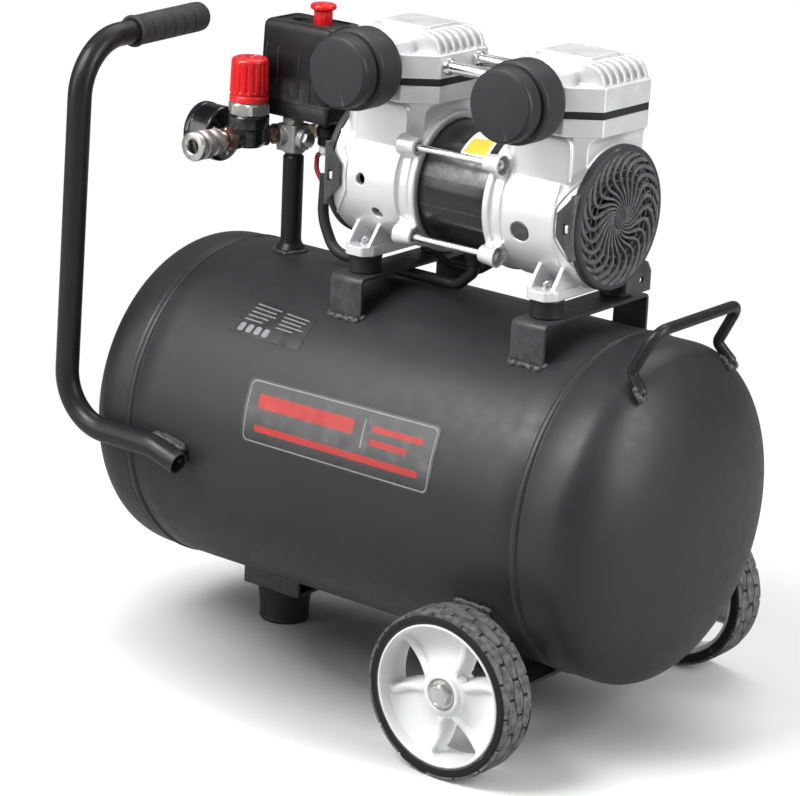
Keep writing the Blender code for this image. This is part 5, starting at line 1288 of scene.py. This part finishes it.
for side, s in (("left", -1), ("right", 1)):
    cx = PUMP_X + s * CYL_U
    spin = ALONG_X if s > 0 else ALONG_LEFT
    bx = BRACKET_X[side]

    # Crankcase casting
    outer = [(0, 32.4), (54.0, 32.4), (55.2, 33.0), (55.6, 34.0), (55.6, 38.0), (55.0, 39.0), (53.6, 40.4), (53.4, 42.0), (53.6, 48.4), (51.2, 48.9), (51.2, 50.3), (54.6, 50.8), (55.4, 51.6),
             (55.5, 54.0), (55.5, 98.6), (54.6, 99.2), (54.4, 100.4), (55.2, 101.0), (55.2, 114.2), (54.6, 114.6), (0, 114.6)]
    inner = [(0, 30.0), (49.8, 30.0), (49.8, 36.0), (7.4, 36.0), (7.4, 41.0), (50.0, 41.0), (50.0, 118.0), (0, 118.0)]
    solids = [(turned(outer, 144), (PUMP_X, 0, PUMP_Z), spin)]
    diag = lambda hx: 36.1 - (hx - 37.0) * 0.8767
    neck = [(PUMP_Z + 18, 37.0), (462.0, 37.0), (466.5, 37.6), (469.2, 39.2), (471.0, 41.6), (DECK_Z - 0.1, 44.4)]
    solids.append((loft([(z, octagon(0, hx, diag(hx), 44.0, 28.0)) for z, hx in neck]), (cx, 0, 0), (0, 0, 0)))
    pad = soft([(-20.8, PUMP_Z + 14, 1), (28.5, PUMP_Z + 14, 1), (28.5, 470.4, 6.5), (-20.8, 470.4, 4.0)], 4, 6, True)
    solids.append((prism(pad, 20.0, 46.8), (cx, 0, 0), (PI / 2, 0, 0)))
    foot = soft([(-14.0, -53, 2), (-8, -61.5, 3), (8, -61.5, 3), (14.0, -53, 2), (14.0, 53, 2), (8, 61.5, 3), (-8, 61.5, 3), (-14.0, 53, 2)], 2, 3, True)
    solids.append((prism(foot, 348.0, 355.9), (bx, 0, 0), (0, 0, 0)))
    funnels = []
    for sy in (-1, 1):
        for dx in (-10.3, 10.3):
            rib = [(sy * 57.5, 355.0), (sy * 24.0, 355.0), (sy * 37.0, 376.0), (sy * 42.0, 375.0), (sy * 45.0, 371.0)]
            solids.append((prism([(z, y) for y, z in rib], -1.7, 1.7), (bx + dx, 0, 0), (PI, -PI / 2, 0)))
        for sz in (-1, 1):
            # tie-rod lug: a funnel with side webs, running back into the drum
            place = (PUMP_X, sy * ROD_Y, PUMP_Z + sz * ROD_Z)
            lug = turned([(0, 32.6), (6.2, 32.6), (6.9, 33.4), (7.4, 40.0), (8.6, 48.5), (0, 48.5)], 48)
            solids.append((lug, place, spin))
            out = Vector((0, sy * ROD_Y, sz * ROD_Z)).normalized()
            tang = Vector((0, -out.z, out.y))
            for e in (-1, 1):
                bm = bmesh.new()
                pts = []
                for u, d in ((33.6, 5.0), (49.6, 7.6), (49.6, 2.0), (33.6, 2.0)):
                    for depth in (-12.0, 3.0 if u < 40 else -3.0):
                        p = Vector((PUMP_X + s * u, sy * ROD_Y, PUMP_Z + sz * ROD_Z)) + tang * e * d + out * depth
                        pts.append(bm.verts.new(p))
                bmesh.ops.convex_hull(bm, input=pts)
                solids.append((bm, (0, 0, 0), (0, 0, 0)))
            funnels.append((turned([(0, 40.6), (6.0, 40.6), (7.3, 49.6), (0, 49.6)], 48), place, spin))
    case = fused(f"crankcase_casting_{side}", solids, "cast", 0.62)
    for bm, place, turn_ in funnels:
        drill(case, bm, place, turn_)
    drill(case, turned(inner, 96), (PUMP_X, 0, PUMP_Z), spin)
    drill(case, plain_rod(31.2, PUMP_Z + 10, 480.0, 64), (cx, 0, 0))
    for sy in (-1, 1):
        drill(case, plain_rod(3.5, 340.0, 362.0, 24), (bx, sy * MOUNT_Y, 0))
        for sz in (-1, 1):
            drill(case, plain_rod(3.4, 25.0, 60.0, 24), (PUMP_X, sy * ROD_Y, PUMP_Z + sz * ROD_Z), spin)
    if s < 0:
        # the left housing's round and slanted openings
        for u, a, rx, rz2 in ((84.9, 1.4, 4.1, 4.6), (71.0, -25.6, 5.4, 4.0)):
            aa = math.radians(a)
            hole = prism([(rx * math.cos(2 * PI * k / 32), rz2 * math.sin(2 * PI * k / 32)) for k in range(32)], 47.0, 60.0)
            x = PUMP_X - u
            mat4 = Matrix.Translation((x, 0, PUMP_Z)) @ Matrix.Rotation(-aa, 4, "X") @ Matrix.Rotation(PI / 2, 4, "X")
            if a < -10:
                mat4 = mat4 @ Matrix.Rotation(math.radians(-32), 4, "Z")
            hole.transform(mat4)
            drill(case, hole)
    else:
        aa = math.radians(-11.7)
        hole = prism([(8.6 * math.cos(2 * PI * k / 40), 7.9 * math.sin(2 * PI * k / 40)) for k in range(40)], 53.6, 62.0)
        mat4 = Matrix.Translation((125.0, 0, PUMP_Z)) @ Matrix.Rotation(-aa, 4, "X") @ Matrix.Rotation(PI / 2, 4, "X")
        hole.transform(mat4)
        drill(case, hole)
        plug = turned([(0, 51.5), (8.2, 51.5), (8.2, 54.2), (7.4, 55.0), (0, 55.3)], 48)
        plug.transform(Matrix.Diagonal((1, 0.92, 1, 1)))
        plug.transform(mat4)
        put(make("crankcase_plug", plug, "filter", angle=40), body=MAIN, slot="dark_grey_plastic")
    casting(case, 0.62, 3, 0.30)
    # the raised, bright edge round the fan cover's clip
    trims = [case]
    for sy in (-1, 1):
        line = [(PUMP_X + s * u, sy * 55.3, PUMP_Z + z) for u, z in ((113.5, 34.0), (104.5, 21.0), (99.6, 12.8), (99.6, -9.6), (104.5, -19.0), (113.5, -31.5))]
        pts = []
        for x, y, z in resample([Vector(p) for p in line], 2.0):
            dz = z - PUMP_Z
            rr = 55.4
            pts.append(Vector((x, sy * math.sqrt(max(rr ** 2 - dz ** 2, 1.0)), z)))
        trims.append(make("trim", swept(pts, 1.15, 14), "cast", angle=60))
    put(join(f"crankcase_{side}_set", trims), f"crankcase_{side}")

    # Cylinder flange
    cyl = make(f"cylinder_flange_{side}", prism(octagon(0, 44.9, 29.2, 49.1, 22.2), DECK_Z, GASKET_Z - 0.3), "cast", (cx, 0, 0))
    drill(cyl, plain_rod(29.0, 440.0, 490.0, 72), (cx, 0, 0))
    casting(cyl, 0.6, 2, 0.35)
    put(cyl, f"cylinder_{side}")

    gk = make(f"gasket_{side}", prism(octagon(0, HEAD_HX - 0.5, HEAD_SY - 0.3, HEAD_FY - 0.6, HEAD_FX - 0.2), GASKET_Z - 0.2, HEAD_Z - 0.1), "gasket", (cx, 0, 0))
    cut(gk, plain_rod(29.0, 470.0, 500.0, 72), (cx, 0, 0))
    bevel(gk, 0.4, 2)
    put(gk, f"head_gasket_{side}")

    # Head: plate, finned hood with round ends, raised pad, intake boss and tube bosses
    hood = [(-42.6, 505.0, 0), (-42.6, 509.0, 0)]
    for k in range(1, 13):
        a = PI / 2 * k / 12
        hood.append((-42.6 + 15.5 * (1 - math.cos(a)), 509.0 + 15.6 * math.sin(a), 0))
    hood += [(-p[0], p[1], 0) for p in hood[::-1]]
    arch = soft([(-19.5, 492.5, 1), (19.5, 492.5, 1), (19.5, 519.0, 6), (-19.5, 519.0, 6)], 5, 7, True)
    solids = [(prism(octagon(0, HEAD_HX, HEAD_SY, HEAD_FY, HEAD_FX), HEAD_Z, 509.4), (cx, 0, 0), (0, 0, 0)),
              (prism([(x, z) for x, z, _ in hood], -29.2, 29.2), (cx, 0, 0), (PI / 2, 0, 0)),
              (prism(arch, 26.0, 54.0), (cx, 0, 0), (PI / 2, 0, 0))]
    for ty, tz in ((-22.0, 500.8), (16.0, 501.6)):
        x0, x1 = sorted((-s * (HEAD_HX - 6.0), -s * (HEAD_HX - 0.2)))
        solids.append((plain_rod(8.7, x0, x1, 48), (cx, ty, tz), ALONG_X))
    head = fused(f"head_casting_{side}", solids, "cast", 0.5)
    for end in (-1, 1):
        for k in range(6):
            y = -22.5 + 9.0 * k
            x0, x1 = sorted((end * 25.0, end * 60.0))
            drill(head, prism(rounded(x0, x1, y - 2.45, y + 2.45, 2.3, 5), 510.6, 530.0), (cx, 0, 0))
    boolean(head, loft([(z, rounded(-23.0 + d, 23.0 - d, -20.5 + d, 20.5 - d, 3.5, 5)) for z, d in ((520.0, 0.0), (526.6, 0.3), (527.4, 1.0))]), "UNION", (cx, 0, 0), solver="MANIFOLD")
    casting(head, 0.5, 3, 0.30)
    bits = [head]
    put(join(f"head_{side}_set", bits), f"cylinder_head_{side}")

    # Intake filter: a deep round cap on a wider drum
    fl = make(f"filter_cap_{side}", turned(soft([
        (0, 54.6), (26.0, 54.6), (28.4, 56.0, 2), (31.0, 60.0, 2), (31.4, 63.0, 1), (31.5, 80.2), (31.2, 82.2, 1.0), (29.4, 83.4, 0.8), (25.8, 83.6, 0.3), (25.7, 85.4, 0.3),
        (28.1, 86.0, 0.5), (28.0, 96.0), (27.3, 98.2, 0.8), (25.9, 98.9, 0.4), (25.4, 99.9, 0.5), (12.0, 100.4), (0, 100.5)], 0.5, 3), 150), "filter", (cx, 0, FILTER_Z), ALONG_FRONT, angle=36)
    put(fl, f"intake_filter_{side}")

    # Cooling fan behind the grille
    fan = [make("hub", turned(soft([(AXLE_R + 0.5, 103.4), (11.0, 103.4), (11.6, 104.4), (11.6, 111.4), (10.4, 112.4), (AXLE_R + 0.5, 112.4)], 0.4, 2), 48, ring=True),
                "fan", (PUMP_X, 0, PUMP_Z), spin)]
    for k in range(7):
        bm = bmesh.new()
        rows = []
        for i in range(9):
            r = 9.5 + (43.6 - 9.5) * i / 8
            pitch_a = math.radians(38 - 14 * i / 8)
            chord = 7.0 + 4.5 * math.sin(PI * i / 9)
            row = []
            for w, t in ((-1, -0.5), (1, -0.5), (1, 0.5), (-1, 0.5)):
                along = w * chord * math.cos(pitch_a) + 0.10 * r * (i / 8)
                z = 107.9 + w * min(chord * math.sin(pitch_a), 3.7) + t * 1.1
                a = 2 * PI * k / 7 + along / r
                row.append(bm.verts.new((r * math.cos(a), r * math.sin(a), z)))
            rows.append(row)
        for a, b in zip(rows, rows[1:]):
            for j in range(4):
                bm.faces.new((a[j], a[(j + 1) % 4], b[(j + 1) % 4], b[j]))
        bm.faces.new(rows[0])
        bm.faces.new(rows[-1][::-1])
        fan.append(make("blade", bm, "fan", (PUMP_X, 0, PUMP_Z), spin, angle=35))
    put(join(f"fan_{side}_set", fan), f"cooling_fan_{side}")

    # Fan cover: rim, hub disc, curved ribs over thin rings, one front clip and a screw ear
    grid = [make("rim", turned(soft([
        (50.2, 118.8), (53.6, 118.6), (53.6, 115.0), (55.6, 115.0), (55.9, 115.6), (55.9, 118.6), (55.5, 120.4, 0.8), (54.2, 121.7, 0.8), (51.2, 122.2, 0.6), (50.2, 121.4)], 0.4, 3), 150, ring=True),
        "grille", (PUMP_X, 0, PUMP_Z), spin, angle=40)]
    grid.append(make("hub", turned(soft([(0, 118.9), (7.6, 118.9), (7.8, 121.4), (7.2, 122.3), (6.2, 122.6), (5.7, 122.2), (0, 122.4)], 0.4, 3), 60), "grille", (PUMP_X, 0, PUMP_Z), spin, angle=40))
    bm = bmesh.new()
    N = 24
    for k in range(N):
        prev = None
        steps = 30
        for i in range(steps + 1):
            t = i / steps
            r = 8.0 + (51.6 - 8.0) * t
            swing = math.radians(50) * math.sin(0.86 * PI * t)
            a = 2 * PI * k / N + swing
            # direction of the rib at this place
            da = math.radians(50) * 0.86 * PI * math.cos(0.86 * PI * t)
            tr = Vector((math.cos(a), math.sin(a), 0)) * 43.6 + Vector((-math.sin(a), math.cos(a), 0)) * (r * da)
            tr.normalize()
            n = Vector((-tr.y, tr.x, 0))
            w = (0.85 + 1.05 * t)
            c = Vector((r * math.cos(a), r * math.sin(a), 0))
            row = [c - n * w + Vector((0, 0, 119.4)), c - n * w + Vector((0, 0, 121.3)), c - n * w * 0.6 + Vector((0, 0, 122.0)),
                   c + n * w * 0.6 + Vector((0, 0, 122.0)), c + n * w + Vector((0, 0, 121.3)), c + n * w + Vector((0, 0, 119.4))]
            row = [bm.verts.new(p) for p in row]
            if prev:
                for j in range(6):
                    bm.faces.new((prev[j], prev[(j + 1) % 6], row[(j + 1) % 6], row[j]))
            else:
                bm.faces.new(row)
            prev = row
        bm.faces.new(prev[::-1])
    grid.append(make("ribs", bm, "grille", (PUMP_X, 0, PUMP_Z), spin, angle=50))
    for r in (30.0, 36.5, 43.0):
        grid.append(make("ring", turned(soft([(r - 0.75, 118.7), (r + 0.75, 118.7), (r + 0.75, 120.2), (r - 0.75, 120.2)], 0.25, 2, True), 90, ring=True), "grille",
                         (PUMP_X, 0, PUMP_Z), spin))
    for k in range(24):
        bar = block(29.8, 50.6, -0.65, 0.65, 118.7, 119.9)
        bmesh.ops.rotate(bar, verts=bar.verts, cent=(0, 0, 0), matrix=Matrix.Rotation(2 * PI * (k + 0.35) / 24, 3, "Z"))
        grid.append(make("bar", bar, "grille", (PUMP_X, 0, PUMP_Z), spin))
    for sy in (-1,):
        up, dn = 27.3, -25.7
        outline = soft([(103.7, -7.1, 1.2), (103.7, 10.6, 1.2), (112.0, 19.2, 1.0), (118.8, up, 0.8), (118.8, dn, 0.8), (112.0, -16.6, 1.0)], 1, 3, True)
        tab = make("clip", prism([(PUMP_X + s * u, z + PUMP_Z) for u, z in outline], 0, 2.2), "grille", (0, -57.8 if sy < 0 else 57.8, 0),
                   (PI / 2, 0, 0) if sy > 0 else (PI / 2, 0, 0), angle=35)
        if sy < 0:
            tab.data.transform(Matrix.Translation((0, 2.2 * MM, 0)))
        wx0, wx1 = sorted((PUMP_X + s * 110.6, PUMP_X + s * 115.6))
        cut(tab, block(wx0, wx1, -70, 70, PUMP_Z - 4.6, PUMP_Z + 3.9))
        bevel(tab, 0.35, 2)
        grid.append(tab)
        xa, xb = sorted((PUMP_X + s * 115.4, PUMP_X + s * 119.0))
        ya, yb = sorted((sy * 49.0, sy * 57.4))
        grid.append(bevel(make("root", block(xa, xb, ya, yb, PUMP_Z + dn + 1.5, PUMP_Z + up - 1.5), "grille"), 0.4, 2))
        xa, xb = sorted((PUMP_X + s * 111.4, PUMP_X + s * 114.4))
        ya, yb = sorted((sy * 54.4, sy * 57.2))
        put(bevel(make(f"cover_catch_{side}_{'front' if sy < 0 else 'rear'}", block(xa, xb, ya, yb, PUMP_Z - 3.4, PUMP_Z + 2.6), "cast"), 0.5, 2), body=MAIN, slot="cast_aluminium")
    ear = soft([(20, 344.0, 1), (20, 366.0, 1), (34, 368.0, 2), (48, 364.5, 5), (53.5, 356.0, 4), (53.5, 340.5, 1), (30, 340.5, 2)], 2, 4, True)
    ear_obj = make("ear", prism([(z, -y) for y, z in ear][::-1], -1.3, 1.3), "grille", (PUMP_X + s * 116.6, 0, 0), (PI, -PI / 2, 0), angle=35)
    cut(ear_obj, plain_rod(2.6, -5, 5, 24), (PUMP_X + s * 116.6, 41.0, 350.5), ALONG_X)
    bevel(ear_obj, 0.35, 2)
    grid.append(ear_obj)
    put(join(f"fan_cover_{side}_set", grid), f"fan_cover_{side}")

for tag, y, z in (("front", -22.0, 500.8), ("rear", 16.0, 501.6)):
    x0 = PUMP_X - CYL_U + HEAD_HX + 0.1
    x1 = PUMP_X + CYL_U - HEAD_HX - 0.1
    tube = make(f"crossover_{tag}", turned(soft([
        (3.5, x0), (6.4, x0), (6.6, x0 + 1.0), (6.6, x0 + 3.4), (5.4, x0 + 4.4), (4.9, x0 + 5.4), (4.9, x1 - 5.4), (5.4, x1 - 4.4), (6.6, x1 - 3.4), (6.6, x1 - 1.0), (6.4, x1), (3.5, x1)],
        0.4, 3), 64, ring=True), "chrome", (0, y, z), ALONG_X, angle=40)
    put(tube, f"transfer_tube_{tag}")

# ---------------------------------------------------------------- hidden pieces stay as they are in the CAD frame, finished
for name, look in (("rotor_shaft", "steel"), ("piston_left", "cast"), ("piston_right", "cast")):
    obj = frame["nodes"][name]
    obj.data.materials.clear()
    obj.data.materials.append(M[look])
    m = obj.modifiers.new("edge", "BEVEL")
    m.width, m.segments, m.limit_method, m.angle_limit = 0.0004, 2, "ANGLE", math.radians(35)


# ================================================================ stage, light, camera
def floor_material():
    mat = bpy.data.materials.new("pale_studio_floor")
    mat.use_nodes = True
    tree = mat.node_tree
    bsdf = tree.nodes["Principled BSDF"]
    where = tree.nodes.new("ShaderNodeTexCoord").outputs["Object"]
    cloud = node(tree, "ShaderNodeTexNoise", in_Scale=3.0, in_Detail=3.0)
    tree.links.new(where, cloud.inputs["Vector"])
    shade_ = span(tree, cloud.outputs["Fac"], 0.3, 0.7, 0.0, 1.0)
    pale = mix_colour(tree, shade_, (0.925, 0.925, 0.925), (0.945, 0.945, 0.945))
    # painted contact shadow: the floor's colour darkens towards 0.16 inside an ellipse under the machine
    shadow_ellipse = node(tree, "ShaderNodeVectorMath", operation="MULTIPLY")
    tree.links.new(tree.nodes.new("ShaderNodeNewGeometry").outputs["Position"], shadow_ellipse.inputs[0])
    shadow_ellipse.inputs[1].default_value = (1 / 0.27, 1 / 0.19, 0.0)
    reach = node(tree, "ShaderNodeVectorMath", operation="LENGTH")
    tree.links.new(shadow_ellipse.outputs[0], reach.inputs[0])
    near = span(tree, reach.outputs["Value"], 0.35, 1.15, 1.0, 0.0)
    # a dimmer floor for everything but the camera keeps the machine's underside dark
    direct = tree.nodes.new("ShaderNodeLightPath").outputs["Is Camera Ray"]
    ground = mix_colour(tree, near, pale, (0.16, 0.16, 0.16))
    bounced = span(tree, direct, 0.0, 1.0, 1.0, 0.0)
    tree.links.new(mix_colour(tree, bounced, ground, (0.44, 0.44, 0.44)), bsdf.inputs["Base Color"])
    rough = span(tree, cloud.outputs["Fac"], 0.3, 0.7, 0.50, 0.62)
    tree.links.new(rough, bsdf.inputs["Roughness"])
    bsdf.inputs["Specular IOR Level"].default_value = 0.25
    # the far floor melts into the white backdrop, for the camera only
    away = node(tree, "ShaderNodeVectorMath", operation="LENGTH")
    tree.links.new(where, away.inputs[0])
    fade = span(tree, away.outputs["Value"], 0.36, 0.78, 0.0, 1.0)
    seen_by = tree.nodes.new("ShaderNodeLightPath")
    fade = math_node(tree, "MULTIPLY", fade, seen_by.outputs["Is Camera Ray"], clamp=True)
    glow = tree.nodes.new("ShaderNodeEmission")
    glow.inputs["Color"].default_value = (1, 1, 1, 1)
    glow.inputs["Strength"].default_value = 1.02
    both = tree.nodes.new("ShaderNodeMixShader")
    tree.links.new(fade, both.inputs[0])
    tree.links.new(bsdf.outputs[0], both.inputs[1])
    tree.links.new(glow.outputs[0], both.inputs[2])
    tree.links.new(both.outputs[0], tree.nodes["Material Output"].inputs["Surface"])
    return mat


bm = bmesh.new()
rows = []
for x in (-6, 6):
    rows.append([bm.verts.new((x, y, z)) for y, z in [(-6, 0), (-2, 0), (0, 0), (3.0, 0)] + [(3.0 + 1.6 * math.sin(PI / 2 * k / 12), 1.6 - 1.6 * math.cos(PI / 2 * k / 12)) for k in range(1, 13)] + [(4.6, 5.5)]])
for k in range(len(rows[0]) - 1):
    bm.faces.new((rows[0][k], rows[1][k], rows[1][k + 1], rows[0][k + 1]))
mesh = bpy.data.meshes.new("studio_floor")
bm.to_mesh(mesh)
bm.free()
floor = bpy.data.objects.new("studio_floor", mesh)
bpy.context.scene.collection.objects.link(floor)
mesh.materials.append(floor_material())
mesh.shade_smooth()
az, el, roll = math.radians(37.26289695), math.radians(18.27129724), math.radians(2.74431037)
floor.rotation_euler = (0, 0, az)

back = Vector((math.sin(az) * math.cos(el), -math.cos(az) * math.cos(el), math.sin(el)))
fw = -back
rt = fw.cross(Vector((0, 0, 1))).normalized()
upv = rt.cross(fw)
ri = rt * math.cos(roll) + upv * math.sin(roll)
up2 = -rt * math.sin(roll) + upv * math.cos(roll)
cam_data = bpy.data.cameras.new("view")
cam = bpy.data.objects.new("view", cam_data)
bpy.context.scene.collection.objects.link(cam)
cam.matrix_world = Matrix.Translation(Vector((1.45999 - CENTRE_X * MM, -1.91908, 0.98020))) @ Matrix((
    (ri.x, up2.x, -fw.x), (ri.y, up2.y, -fw.y), (ri.z, up2.z, -fw.z))).to_4x4()
cam_data.sensor_width = 36.0
cam_data.lens = 3157.82 * 36.0 / 800.0
cam_data.shift_x = (400 - 419.596) / 800.0
cam_data.shift_y = (446.101 - 398) / 800.0
cam_data.clip_start, cam_data.clip_end = 0.05, 60.0
bpy.context.scene.camera = cam


def softbox(name, place, target, size_x, size_y, power, colour=(1, 1, 1), spread=180):
    data = bpy.data.lights.new(name, "AREA")
    data.shape = "RECTANGLE"
    data.size, data.size_y = size_x, size_y
    data.energy = power
    data.color = colour
    data.spread = math.radians(spread)
    obj = bpy.data.objects.new(name, data)
    bpy.context.scene.collection.objects.link(obj)
    obj.location = place
    obj.rotation_euler = (Vector(target) - Vector(place)).to_track_quat("-Z", "Y").to_euler()
    obj.visible_camera = False
    return obj


def around(azimuth, elevation, distance, centre=(0.0, 0.0, 0.28)):
    a, e = math.radians(azimuth), math.radians(elevation)
    return (centre[0] + distance * math.sin(a) * math.cos(e), centre[1] - distance * math.cos(a) * math.cos(e), centre[2] + distance * math.sin(e))


C = (0.0, 0.0, 0.28)
softbox("key_top_left", around(-24, 48, 2.2), C, 1.2, 1.0, 53)
softbox("front_left", around(-34, 18, 2.4), C, 0.8, 1.5, 17)
softbox("side_right", around(98, 22, 2.2), C, 0.8, 1.7, 38)
softbox("top_back", around(190, 60, 2.2), C, 2.0, 0.9, 18)

world = bpy.data.worlds.new("studio")
bpy.context.scene.world = world
world.use_nodes = True
wt = world.node_tree
for n in list(wt.nodes):
    wt.nodes.remove(n)
outw = wt.nodes.new("ShaderNodeOutputWorld")
path = wt.nodes.new("ShaderNodeLightPath")
seen = wt.nodes.new("ShaderNodeBackground")
seen.inputs["Color"].default_value = (1, 1, 1, 1)
seen.inputs["Strength"].default_value = 1.0
soft_bg = wt.nodes.new("ShaderNodeBackground")
soft_bg.inputs["Strength"].default_value = 0.46
coords = wt.nodes.new("ShaderNodeTexCoord")
sep = wt.nodes.new("ShaderNodeSeparateXYZ")
wt.links.new(coords.outputs["Generated"], sep.inputs[0])
ramp = wt.nodes.new("ShaderNodeValToRGB")
ramp.color_ramp.elements[0].position = 0.0
ramp.color_ramp.elements[0].color = (0.22, 0.22, 0.225, 1)
ramp.color_ramp.elements[1].position = 1.0
ramp.color_ramp.elements[1].color = (1.0, 1.0, 1.0, 1)
wt.links.new(span(wt, sep.outputs[2], -0.1, 0.9, 0.0, 1.0), ramp.inputs[0])
wt.links.new(ramp.outputs[0], soft_bg.inputs["Color"])
mixw = wt.nodes.new("ShaderNodeMixShader")
wt.links.new(path.outputs["Is Camera Ray"], mixw.inputs[0])
wt.links.new(soft_bg.outputs[0], mixw.inputs[1])
wt.links.new(seen.outputs[0], mixw.inputs[2])
wt.links.new(mixw.outputs[0], outw.inputs["Surface"])
bpy.context.scene.view_settings.view_transform = "Standard"
